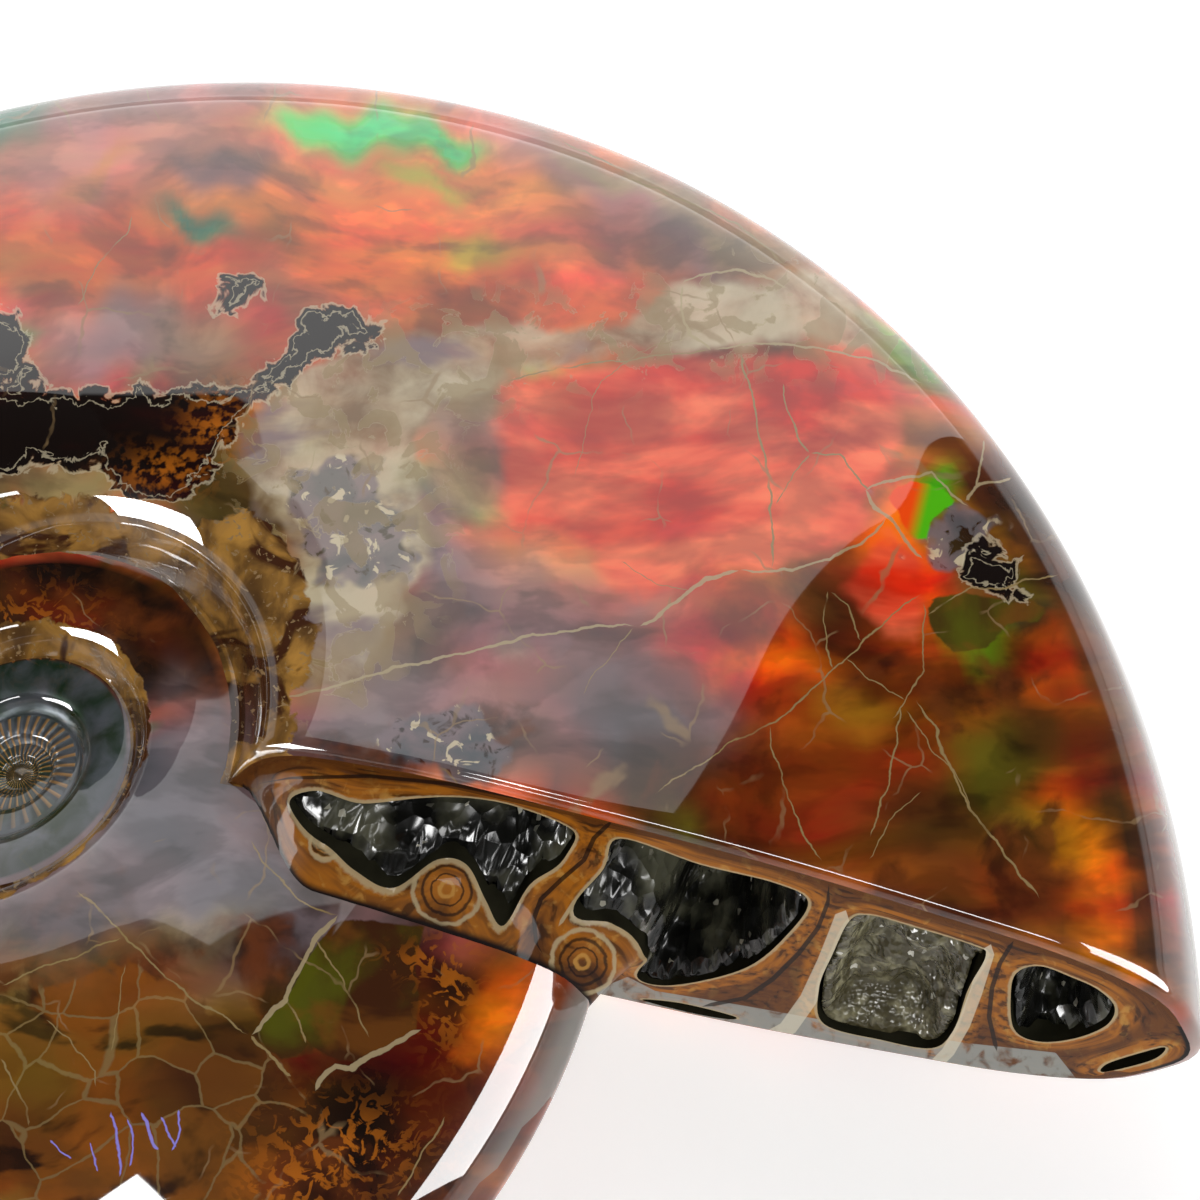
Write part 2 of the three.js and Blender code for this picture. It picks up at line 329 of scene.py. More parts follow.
# How the shell lies
# The fossil rests on its lower flank, where a small land is rubbed flat, so that the upper flank
# is about level. The whole skin is turned and shifted into that place.
REST_TURN = Euler((math.radians(-0.8), math.radians(-3.17), 0.0)).to_matrix()
RUBBED_FLAT = 0.0003
JOIN_GAP = 2e-6
rest = np.array(REST_TURN)
levelled = np.concatenate(skin.points) @ rest.T
node_low, node_high = (np.array(corner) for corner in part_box("ammonite"))
low, high = levelled.min(axis=0), levelled.max(axis=0)
middle = (node_low + node_high) / 2 - (low + high) / 2
rest_shift = np.array([middle[0], middle[1], -low[2] - RUBBED_FLAT])


def laid_down(points):
    return np.asarray(points) @ rest.T + rest_shift


def shell_mesh(name, points, faces, surfaces):
    """A closed mesh object from points in the shell's own frame, laid down as the fossil lies."""
    mesh = bpy.data.meshes.new(name)
    placed = laid_down(points)
    placed[:, 2] = np.maximum(placed[:, 2], 0)
    mesh.from_pydata(placed.tolist(), [], faces)
    mesh.polygons.foreach_set("material_index", surfaces)
    piece = bpy.data.objects.new(name, mesh)
    bpy.context.collection.objects.link(piece)
    bpy.ops.object.select_all(action='DESELECT')
    bpy.context.view_layer.objects.active = piece
    piece.select_set(True)
    bpy.ops.object.mode_set(mode='EDIT')
    bpy.ops.mesh.select_all(action='SELECT')
    bpy.ops.mesh.remove_doubles(threshold=JOIN_GAP)
    bpy.ops.mesh.normals_make_consistent(inside=False)
    bpy.ops.object.mode_set(mode='OBJECT')
    return piece


fossil = shell_mesh("ammonite_skin", np.concatenate(skin.points), skin.faces, skin.surfaces)
bpy.ops.object.shade_smooth_by_angle(angle=math.radians(50))
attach(fossil, "root")
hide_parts("ammonite")


# Camera
# A close lens looks down on the flank and the cut end, at the photograph's angle. The place is
# given in the coil's own frame, and is laid down with the shell.
CAMERA_PLACE = (0.03184, -0.02112, 0.05811)
CAMERA_AZIMUTH = math.radians(18.23)
CAMERA_ELEVATION = math.radians(57.87)
CAMERA_ROLL = math.radians(-4.06)
LENS = 48.8
FILM_WIDTH = 36
back = Vector((math.sin(CAMERA_AZIMUTH) * math.cos(CAMERA_ELEVATION),
               -math.cos(CAMERA_AZIMUTH) * math.cos(CAMERA_ELEVATION), math.sin(CAMERA_ELEVATION)))
level = Vector((math.cos(CAMERA_AZIMUTH), math.sin(CAMERA_AZIMUTH), 0))
upright = back.cross(level)
right = level * math.cos(CAMERA_ROLL) + upright * math.sin(CAMERA_ROLL)
up = upright * math.cos(CAMERA_ROLL) - level * math.sin(CAMERA_ROLL)
view = bpy.data.cameras.new("camera")
view.lens = LENS
view.sensor_width = FILM_WIDTH
view.clip_start = 0.001
camera = bpy.data.objects.new("camera", view)
bpy.context.collection.objects.link(camera)
turn = REST_TURN @ Matrix((right, up, back)).transposed()
camera.matrix_world = turn.to_4x4()
camera.location = Vector(laid_down([CAMERA_PLACE])[0])
bpy.context.scene.camera = camera


# Where the pattern lies
# The markings are placed in the photograph's frame of 1200 pixels. The part of the coil outside
# that frame carries them on mirrored, and so does the flank underneath.
PHOTO_SIZE = 1200
FRAME_LEFT = math.radians(117)
FRAME_RIGHT = math.radians(297)
FAR_SIDE = (FRAME_LEFT + FRAME_RIGHT) / 2
PIXELS = 0.001


def seen(points):
    """The pixels at which points of the shell appear."""
    rays = np.asarray(points) - CAMERA_PLACE
    scale = LENS / FILM_WIDTH * PHOTO_SIZE / -(rays @ np.array(back))
    return np.stack([PHOTO_SIZE / 2 + scale * (rays @ np.array(right)),
                     PHOTO_SIZE / 2 - scale * (rays @ np.array(up))], axis=1)


corners = np.empty(3 * len(fossil.data.vertices))
fossil.data.vertices.foreach_get("co", corners)
shell = (corners.reshape(-1, 3) - rest_shift) @ rest
angle = np.arctan2(shell[:, 1], shell[:, 0]) % TURN
radius = np.linalg.norm(shell[:, :2], axis=1)
past_cut = (angle > TURN * 0.9) & (radius > KEEL_RADIUS / GROWTH_PER_TURN * 1.03)
angle[past_cut] -= TURN
mark_radius = np.maximum(radius, 1e-5) * np.exp(GROWTH * angle)
whorl = np.maximum(0, np.floor(np.log(SEAM[0] / mark_radius) / math.log(GROWTH_PER_TURN) + 0.999))
mark_radius = mark_radius * GROWTH_PER_TURN ** whorl
shown_at = np.where((angle > FRAME_LEFT) & (angle <= FAR_SIDE), 2 * FRAME_LEFT - angle, angle)
shown_at = np.where((angle > FAR_SIDE) & (angle < FRAME_RIGHT), 2 * FRAME_RIGHT - angle, shown_at)
grown = np.exp(GROWTH * (angle - shown_at))
shown = np.stack([radius * grown * np.cos(shown_at), radius * grown * np.sin(shown_at),
                  np.abs(shell[:, 2]) * grown], axis=1)
pixels = seen(shown)
known = smooth_step((np.abs(angle - FAR_SIDE) - 0.05) / 0.2)


def give(name, kind, values):
    """Store a value for each point of the fossil's skin."""
    layer = fossil.data.attributes.new(name, kind, 'POINT')
    field = {'FLOAT': "value", 'FLOAT_VECTOR': "vector", 'FLOAT_COLOR': "color"}[kind]
    layer.data.foreach_set(field, np.ascontiguousarray(values, dtype=np.float32).ravel())


wall_edge = np.interp(np.degrees(angle), [0, 10, 17, 35, 52, 60, 117, 250, 360],
                      [13.0, 12.8, 13.7, 14.0, 13.9, 11.6, 11.6, 12.6, 11.9]) * MM
one = np.ones(len(pixels))
up_the_wall = np.where(whorl > 0, 0.0122, wall_edge) / MM - mark_radius / MM
give("wall", 'FLOAT', up_the_wall)
give("photo", 'FLOAT_VECTOR', np.column_stack([pixels * PIXELS, one]))
give("face_photo", 'FLOAT_VECTOR', np.column_stack([seen(shell) * PIXELS, one]))
turns = whorl + angle / TURN
give("coil", 'FLOAT_VECTOR', np.column_stack([angle, mark_radius * 100, turns]))

# The painted regions, as outlines in pixels
REGIONS = {
    "dark": [
        [(-80, 383), (0, 385), (60, 388), (120, 392), (140, 380), (165, 388), (200, 385), (235, 388),
         (262, 372), (285, 345), (305, 312), (335, 303), (365, 315), (386, 336), (350, 352),
         (318, 360), (292, 382), (262, 402), (245, 412), (236, 432), (224, 452), (212, 468),
         (200, 490), (178, 503), (150, 505), (122, 496), (108, 478), (95, 468), (60, 470),
         (30, 468), (0, 476), (-80, 480)],
        [(225, 275), (245, 268), (262, 276), (262, 290), (250, 302), (232, 310), (215, 312), (218, 295)],
        [(-80, 308), (0, 310), (18, 312), (26, 330), (30, 350), (34, 372), (28, 390), (0, 388),
         (-80, 386)],
        [(960, 545), (978, 535), (992, 540), (1005, 555), (1018, 570), (1025, 590), (1020, 600),
         (990, 595), (965, 580), (962, 560)],
    ],
    "pale": [
        [(262, 402), (300, 375), (345, 352), (386, 338), (430, 325), (480, 318), (540, 320),
         (600, 318), (650, 305), (690, 282), (740, 272), (800, 268), (850, 290), (900, 335),
         (930, 365), (880, 352), (820, 345), (760, 345), (700, 350), (640, 355), (590, 365),
         (540, 368), (505, 378), (490, 395), (470, 400), (430, 405), (420, 440), (430, 470),
         (420, 500), (440, 540), (430, 580), (400, 590), (395, 640), (360, 690), (330, 700),
         (300, 700), (290, 690), (285, 640), (300, 600), (290, 560), (262, 520), (250, 480),
         (245, 440)],
    ],
    "window": [
        [(495, 380), (560, 368), (640, 358), (700, 352), (760, 350), (830, 356), (890, 370),
         (905, 400), (900, 440), (890, 480), (870, 500), (880, 520), (840, 560), (770, 570),
         (700, 578), (640, 600), (600, 570), (560, 540), (520, 530), (495, 500), (500, 450),
         (490, 420)],
        [(888, 520), (905, 542), (925, 555), (935, 580), (925, 615), (915, 650), (880, 640),
         (850, 600), (835, 590), (860, 560)],
    ],
    "crystal": [
        [(285, 480), (340, 470), (400, 490), (425, 530), (410, 580), (370, 600), (330, 590),
         (300, 560), (280, 530)],
        [(935, 508), (955, 500), (972, 508), (982, 525), (975, 545), (965, 555), (950, 570),
         (930, 560), (920, 545), (922, 525)],
        [(862, 490), (882, 480), (893, 484), (884, 500), (892, 518), (880, 512), (868, 504)],
        [(390, 730), (440, 690), (480, 730), (500, 770), (450, 765), (400, 760)],
    ],
    "shards": [
        [(-80, 1010), (60, 985), (122, 960), (190, 990), (250, 1034), (291, 1074), (310, 1100),
         (280, 1150), (250, 1210), (-80, 1210)],
    ],
    "dull": [
        [(40, 560), (120, 562), (190, 588), (228, 632), (238, 700), (150, 706), (152, 640), (118, 600)],
        [(60, 391), (130, 392), (232, 391), (255, 405), (264, 430), (267, 530), (282, 580),
         (305, 625), (318, 670), (335, 640), (330, 560), (300, 500), (250, 455), (215, 480),
         (150, 470), (90, 420)],
        [(150, 965), (200, 948), (237, 924), (300, 905), (345, 900), (330, 960), (288, 1015),
         (230, 1000)],
    ],
    "flash": [
        [(893, 486), (915, 480), (937, 484), (958, 498), (952, 508), (936, 513), (926, 545), (912, 540),
         (900, 520), (887, 500)],
    ],
    "olive": [
        [(340, 917), (430, 925), (415, 960), (420, 1000), (420, 1033), (385, 1050), (350, 1065),
         (330, 1060), (308, 1045), (300, 1020), (285, 1000), (297, 975), (313, 945)],
        [(250, 1033), (285, 1000), (298, 1020), (305, 1043), (291, 1073)],
        [(925, 600), (965, 590), (1010, 600), (1045, 600), (1048, 620), (1010, 625), (985, 650),
         (955, 655), (930, 630)],
    ],
}


def depth_inside(outlines):
    """How far inside any of some outlines each point lies, in hundreds of pixels."""
    deepest = np.full(len(pixels), -9.0)
    for outline in outlines:
        deepest = np.maximum(deepest, -loop_distance(pixels, np.array(outline, float)) / 100)
    return np.where(known > 0, deepest * known - (1 - known) * 0.6, -0.6)


depths = {name: depth_inside(outlines) for name, outlines in REGIONS.items()}
for name, depth in depths.items():
    give(name, 'FLOAT', depth)

# Soft colours of the mother-of-pearl: place, reach along and across, lean in degrees, colour, share
PIGMENTS = {
    "flame": (255, 78, 8), "ember": (205, 34, 8), "sepia": (106, 52, 20), "salmon": (248, 104, 62),
    "rose": (190, 40, 36), "violet": (96, 74, 84), "mint": (60, 205, 92), "teal": (26, 118, 78),
    "leaf": (84, 190, 16), "olive": (84, 84, 16), "khaki": (150, 122, 84), "cream": (214, 200, 168),
    "slate": (84, 90, 96), "bone": (178, 160, 122), "chalk": (222, 214, 190), "coral": (255, 118, 78),
    "straw": (186, 136, 62), "bark": (88, 60, 30), "rope": (150, 128, 84), "ochre": (122, 72, 24),
    "iris": (150, 140, 226), "umber": (66, 34, 14), "night": (20, 11, 8), "rust": (134, 42, 8),
    "amber": (186, 104, 24), "wine": (76, 4, 5), "lilac": (128, 112, 118), "bottle": (22, 46, 24),
    "gold": (160, 96, 24), "reflected_grey": (150, 152, 146),
}
SOFT_COLOURS = [
    (950, 720, 230, 300, -22, "sepia", 0.95), (150, 1060, 420, 170, 0, "ochre", 1.0),
    (170, 900, 300, 80, 0, "lilac", 1.0), (40, 478, 190, 36, 0, "khaki", 1.0),
    (215, 480, 80, 60, 40, "bark", 1.0), (300, 600, 40, 80, -10, "khaki", 0.9),
    (190, 800, 170, 90, 0, "lilac", 1.0), (160, 770, 60, 40, 0, "slate", 0.8),
    (1010, 660, 60, 60, 0, "rust", 0.8), (930, 860, 90, 30, 15, "rust", 0.7),
    (900, 620, 60, 70, -20, "ember", 0.8), (900, 720, 70, 60, 0, "rust", 0.8),
    (1050, 690, 30, 90, -25, "rust", 0.9), (960, 760, 36, 60, -20, "umber", 0.7),
    (60, 970, 130, 30, -12, "khaki", 1.0), (1060, 760, 40, 90, -22, "rust", 0.8),
    (1075, 720, 22, 80, -22, "ember", 1.0), (1085, 868, 34, 70, -25, "flame", 1.0),
    (1010, 560, 60, 16, 60, "olive", 0.8), (350, 200, 420, 150, 5, "salmon", 0.9),
    (60, 250, 200, 60, -5, "ember", 0.8), (120, 150, 160, 50, -8, "lilac", 0.55),
    (400, 250, 260, 60, 10, "flame", 0.7), (230, 168, 60, 24, 8, "violet", 0.9),
    (120, 100, 170, 30, -5, "lilac", 0.5), (20, 122, 46, 24, -50, "teal", 0.95),
    (370, 132, 90, 24, 6, "mint", 1.0), (450, 142, 44, 16, 12, "mint", 1.0),
    (320, 126, 34, 16, 0, "mint", 0.8), (195, 218, 52, 15, 14, "teal", 1.0),
    (285, 248, 46, 18, 14, "olive", 0.6), (420, 182, 40, 12, 12, "leaf", 0.5),
    (480, 246, 40, 16, 20, "leaf", 0.45), (90, 175, 60, 12, -25, "amber", 0.6),
    (540, 235, 60, 30, 25, "salmon", 0.7), (560, 160, 90, 30, 25, "lilac", 0.6),
    (650, 225, 110, 45, 30, "violet", 0.6), (700, 235, 80, 40, 35, "lilac", 0.5),
    (760, 250, 120, 26, 32, "khaki", 0.8), (640, 190, 110, 14, 28, "khaki", 0.75),
    (110, 340, 100, 45, 0, "lilac", 0.8), (200, 340, 60, 40, 0, "khaki", 0.5),
    (270, 335, 40, 45, 30, "rose", 0.6), (300, 300, 60, 30, 20, "teal", 0.35),
    (600, 300, 160, 22, 5, "rust", 0.4), (480, 300, 80, 22, 8, "umber", 0.45),
    (560, 460, 80, 70, 0, "rose", 0.8), (700, 430, 140, 60, 0, "rose", 0.6),
    (720, 520, 130, 50, -5, "ember", 0.7), (850, 430, 60, 60, 0, "rose", 0.6),
    (380, 420, 120, 46, -10, "khaki", 0.8), (480, 440, 60, 70, 0, "lilac", 0.5),
    (460, 570, 60, 50, 0, "lilac", 0.6), (360, 650, 90, 60, 0, "khaki", 0.6),
    (560, 620, 120, 60, 0, "lilac", 0.8), (470, 720, 170, 60, 10, "lilac", 0.75),
    (330, 740, 70, 40, 0, "lilac", 0.7), (600, 590, 60, 30, 0, "rose", 0.4),
    (640, 700, 110, 60, 20, "slate", 0.7), (730, 640, 80, 40, 10, "rose", 0.7),
    (560, 760, 160, 30, 12, "umber", 0.6), (700, 780, 90, 40, 15, "umber", 0.7),
    (790, 660, 60, 26, 5, "flame", 1.0), (820, 620, 46, 30, 0, "umber", 0.8),
    (780, 710, 50, 40, 0, "ember", 0.7), (750, 790, 46, 50, 20, "wine", 0.9),
    (860, 640, 50, 60, 20, "wine", 0.75), (905, 560, 30, 60, -20, "flame", 1.0),
    (850, 790, 140, 90, 12, "rust", 0.8), (960, 860, 120, 50, 22, "sepia", 0.8),
    (840, 760, 40, 40, 10, "rust", 0.5), (850, 710, 40, 26, 10, "amber", 0.7),
    (960, 700, 60, 60, 0, "rust", 0.6), (985, 640, 36, 26, 20, "leaf", 0.55),
    (1000, 760, 60, 50, 30, "olive", 0.85), (950, 830, 70, 40, 20, "umber", 0.7),
    (1040, 700, 50, 80, -25, "umber", 0.8), (1060, 690, 30, 60, -25, "ember", 0.6),
    (1000, 500, 60, 40, 40, "umber", 0.9), (950, 455, 60, 24, 20, "wine", 0.8),
    (1050, 560, 30, 60, -30, "umber", 0.9), (970, 505, 20, 12, 40, "amber", 0.8),
    (1010, 540, 30, 14, 55, "amber", 0.7), (1010, 610, 40, 16, 10, "bottle", 0.9),
    (905, 505, 20, 24, 0, "flame", 1.0), (930, 500, 22, 26, 20, "leaf", 1.0),
    (1080, 870, 30, 70, -25, "flame", 1.0), (1050, 835, 26, 40, -20, "olive", 0.7),
    (1110, 930, 26, 40, -20, "flame", 0.9), (1020, 870, 60, 34, 20, "rust", 0.7),
    (1130, 820, 20, 90, -18, "umber", 0.8), (1160, 940, 14, 60, -10, "umber", 0.8),
    (1085, 740, 30, 60, -25, "umber", 0.7), (130, 880, 160, 60, 0, "lilac", 0.85),
    (240, 900, 90, 40, 30, "slate", 0.6), (150, 830, 60, 30, 0, "slate", 0.7),
    (200, 940, 70, 30, -15, "khaki", 0.7), (250, 950, 70, 30, 0, "night", 0.7),
    (60, 1000, 120, 50, -10, "straw", 0.5), (120, 1060, 140, 50, 0, "ochre", 0.7),
    (215, 1060, 60, 46, 0, "umber", 1.0), (450, 478, 46, 38, 30, "khaki", 1.0),
    (425, 530, 44, 44, 0, "lilac", 0.8), (240, 1110, 50, 40, 0, "night", 0.6),
    (150, 985, 60, 30, -20, "rust", 0.6), (30, 1090, 50, 40, 0, "olive", 0.5),
    (60, 1160, 110, 50, 0, "umber", 0.8), (310, 870, 60, 24, 30, "umber", 0.8),
    (210, 1180, 60, 40, 0, "umber", 0.7), (440, 1080, 120, 130, 0, "wine", 1.0),
    (350, 1140, 90, 75, -35, "night", 0.95), (500, 1010, 34, 44, 10, "flame", 0.8),
    (490, 1015, 26, 34, 10, "amber", 0.5), (446, 975, 30, 30, 0, "night", 0.8),
    (495, 1008, 28, 40, 15, "flame", 1.0), (425, 1110, 30, 70, 25, "wine", 0.9),
    (308, 1070, 14, 24, 20, "wine", 0.9), (30, 640, 200, 60, 0, "umber", 0.9),
    (120, 620, 110, 40, 20, "night", 0.6), (180, 640, 40, 30, 0, "wine", 0.4),
    (60, 610, 50, 24, 0, "rust", 0.5), (200, 745, 40, 70, 0, "lilac", 0.9),
    (200, 790, 36, 40, 0, "slate", 0.5),
]
across = mark_radius / KEEL_RADIUS
plain = np.array([noise.noise(Vector((2.2 * a, 9.0 * r, 1.7 * side)))
                  for a, r, side in zip(angle, across, np.sign(shell[:, 2]))])
finer = np.array([noise.noise(Vector((5.0 * a + 7, 16.0 * r, 3.1))) for a, r in zip(angle, across)])


def pigment(name):
    """A pigment as linear light."""
    value = np.array(PIGMENTS[name]) / 255
    return np.where(value > 0.04045, ((value + 0.055) / 1.055) ** 2.4, value / 12.92)


def blended(tint, name, amount):
    return tint + (pigment(name) - tint) * np.clip(amount, 0, 1)[:, None]


tint = np.tile(pigment("rust"), (len(pixels), 1))
tint = blended(tint, "salmon", smooth_step(plain * 2 + 0.4))
tint = blended(tint, "umber", smooth_step(-plain * 2.4 - 0.2))
tint = blended(tint, "ember", smooth_step(finer * 2.4) * 0.7)
tint = blended(tint, "olive", smooth_step(-finer * 3 - 0.9) * 0.7)
tint = blended(tint, "mint", smooth_step((plain + finer) * 2.4 - 0.9) * 0.7)
inner_tint = blended(blended(np.tile(pigment("umber"), (len(pixels), 1)), "night",
                             smooth_step(finer * 3 + 0.5)), "rust", smooth_step(plain * 4 - 0.6) * 0.5)
further_in = smooth_step((turns - 1.05) / 0.03)[:, None] * (whorl[:, None] > 0)
tint = tint + (inner_tint - tint) * further_in
strayed = pixels + 9 * np.sin(pixels[:, ::-1] / 21 + 1.3) + 5 * np.sin(pixels[:, ::-1] / 8.3)
for x, y, long, wide, lean, name, share in SOFT_COLOURS:
    dx, dy = (strayed - (x, y)).T
    turned = math.radians(lean)
    u = (dx * math.cos(turned) + dy * math.sin(turned)) / long
    v = (dy * math.cos(turned) - dx * math.sin(turned)) / wide
    tint = blended(tint, name, share * known * np.exp(-(u * u + v * v) ** 1.8))
give("tint", 'FLOAT_COLOR', np.column_stack([tint, one]))

RUST_SPOTS = [(215, 425, 26, 34), (160, 476, 40, 18), (450, 990, 24, 50), (340, 1150, 70, 40),
              (300, 1180, 50, 30), (30, 640, 60, 40), (430, 960, 40, 14), (280, 1190, 40, 20)]
rusty = np.zeros(len(pixels))
for x, y, wide, high in RUST_SPOTS:
    rusty = np.maximum(rusty, np.exp(-((pixels[:, 0] - x) / wide) ** 2 - ((pixels[:, 1] - y) / high) ** 2))
give("rusty", 'FLOAT', rusty * known)

EARTHY_FIELDS = [(960, 800, 160, 130), (1030, 640, 70, 110), (120, 1060, 260, 150), (380, 1130, 120, 110),
                 (450, 740, 170, 40), (620, 780, 150, 36), (60, 620, 220, 90),
                 (850, 640, 60, 60), (250, 950, 90, 60)]
earthy = np.full(len(pixels), 0.25)
for x, y, wide, high in EARTHY_FIELDS:
    near = np.exp(-((pixels[:, 0] - x) / wide) ** 4 - ((pixels[:, 1] - y) / high) ** 4)
    earthy = np.maximum(earthy, 0.85 * near)
give("earthy", 'FLOAT', earthy)

# On the cut end: how far from the nearest hollow and from the outer edge, in millimetres
face_flat = shell[:, flat]
on_face = np.abs(shell[:, 1] - face_depth(face_flat)) < 1e-5
hollow_gap = np.full(len(shell), 9.0)
for chamber in CHAMBERS.values():
    outline = chamber["outline"]
    gap = line_distance(face_flat[on_face], np.concatenate([outline, outline[:1]])) / MM
    hollow_gap[on_face] = np.minimum(hollow_gap[on_face], gap)
edge_gap = np.full(len(shell), 9.0)
edge_gap[on_face] = line_distance(face_flat[on_face], np.concatenate([edge_loop, edge_loop[:1]])) / MM
give("hollow_gap", 'FLOAT', hollow_gap)
give("edge_gap", 'FLOAT', edge_gap)


# The polish, the cut end and the hollows
# The flanks are mother-of-pearl over dark calcite under a mirror polish, crossed by healed cracks.
# The cut end is fibrous, golden calcite, and the hollows behind it are dark and dull.
class Brush:
    """Builds one material's nodes, with plain calls in place of links."""

    def __init__(self, name):
        self.material = bpy.data.materials.new(name)
        self.material.use_nodes = True
        self.tree = self.material.node_tree
        self.shader = self.tree.nodes["Principled BSDF"]

    def feed(self, socket, value):
        if isinstance(value, bpy.types.NodeSocket):
            self.tree.links.new(value, socket)
        else:
            socket.default_value = value

    def add(self, kind, inputs, **settings):
        node = self.tree.nodes.new(kind)
        for name, value in settings.items():
            setattr(node, name, value)
        for key, value in inputs.items():
            self.feed(node.inputs[key], value)
        return node

    def math(self, operation, a, b=0.0, clamp=False):
        return self.add("ShaderNodeMath", {0: a, 1: b}, operation=operation, use_clamp=clamp).outputs[0]

    def times(self, a, b):
        return self.math('MULTIPLY', a, b)

    def plus(self, a, b):
        return self.math('ADD', a, b)

    def moved(self, vector, way):
        return self.add("ShaderNodeVectorMath", {0: vector, 1: way}, operation='ADD').outputs[0]

    def stretch(self, vector, scale):
        return self.add("ShaderNodeVectorMath", {0: vector, 1: scale}, operation='MULTIPLY').outputs[0]

    def along(self, vector, direction):
        node = self.add("ShaderNodeVectorMath", {0: vector, 1: direction}, operation='DOT_PRODUCT')
        return node.outputs["Value"]

    def stored(self, name, output="Fac"):
        return self.add("ShaderNodeAttribute", {}, attribute_name=name).outputs[output]

    def noise(self, vector, scale, detail=3.0, distortion=0.0, output="Fac"):
        inputs = {"Vector": vector, "Scale": scale, "Detail": detail, "Distortion": distortion}
        return self.add("ShaderNodeTexNoise", inputs).outputs[output]

    def cells(self, vector, scale, feature='F1', output="Distance"):
        return self.add("ShaderNodeTexVoronoi", {"Vector": vector, "Scale": scale},
                        feature=feature).outputs[output]

    def smooth(self, value, low, high):
        inputs = {"Value": value, "From Min": low, "From Max": high}
        return self.add("ShaderNodeMapRange", inputs, interpolation_type='SMOOTHSTEP').outputs[0]

    def mix(self, amount, first, second):
        node = self.add("ShaderNodeMix", {"Factor": amount}, data_type='RGBA')
        self.feed(node.inputs[6], first)
        self.feed(node.inputs[7], second)
        return node.outputs[2]

    def paint(self, name):
        return (*pigment(name), 1.0)

    def blend(self, amount, first, second):
        """A mix of two pigments by name."""
        return self.mix(amount, self.paint(first), self.paint(second))

    def over(self, colour, mask, share, name):
        """A pigment laid over a colour, where a mask says."""
        return self.mix(self.times(mask, share), colour, self.paint(name))

    def line(self, photo, places, width):
        """A mask for a thin line through pixel places, thinning out at both ends."""
        places = np.array(places, float) * PIXELS
        run = places[-1] - places[0]
        length = np.linalg.norm(run)
        side = np.array([-run[1], run[0]]) / length
        shares = (places - places[0]) @ run / length ** 2
        offsets = (places - places[0]) @ side
        share = self.along(photo, (*(run / length ** 2), -places[0] @ run / length ** 2))
        offset = self.along(photo, (*side, -places[0] @ side))
        course = self.curve(share, list(zip(shares, offsets)))
        half = width * PIXELS * 0.45
        breadth = self.curve(share, [(0, 0), (0.06, half), (0.94, half), (1, 0)])
        away = self.math('ABSOLUTE', self.math('SUBTRACT', offset, course))
        return self.math('MULTIPLY', self.math('SUBTRACT', breadth, away), 1500.0, clamp=True)

    def curve(self, value, marks):
        node = self.add("ShaderNodeFloatCurve", {"Value": value})
        node.mapping.use_clip = False
        points = node.mapping.curves[0].points
        points[0].location = marks[0]
        points[1].location = marks[-1]
        for mark in marks[1:-1]:
            points.new(*mark)
        for point in points:
            point.handle_type = 'VECTOR'
        node.mapping.update()
        return node.outputs[0]

    def together(self, masks):
        total = masks[0]
        for mask in masks[1:]:
            total = self.math('MAXIMUM', total, mask)
        return total


# The lines on the flanks: pixel places and width
VEINS = [
    ([(683, 285), (700, 274), (730, 270), (765, 276), (790, 290)], 3.0),
    ([(275, 700), (330, 690), (400, 667), (480, 648), (560, 630), (640, 626)], 3.6),
    ([(640, 626), (662, 612), (680, 598), (705, 578), (740, 572)], 4.5),
    ([(740, 572), (790, 570), (830, 560), (865, 540), (888, 518)], 3.4),
    ([(966, 500), (980, 485), (1010, 478)], 3.4),
    ([(976, 492), (982, 465), (984, 438)], 3.0),
    ([(863, 492), (882, 481), (905, 476), (930, 472), (950, 490), (968, 506)], 3.6),
    ([(864, 490), (876, 508), (892, 520), (905, 540), (922, 558)], 4.0),
    ([(683, 285), (679, 310), (690, 335), (712, 352)], 3.6),
    ([(712, 350), (760, 343), (830, 350), (880, 362), (925, 385)], 3.0),
    ([(340, 915), (313, 945), (297, 975), (285, 1000), (266, 1020), (250, 1034)], 6.0),
    ([(422, 1030), (390, 1046), (350, 1068), (335, 1066), (320, 1082), (314, 1094)], 7.0),
]
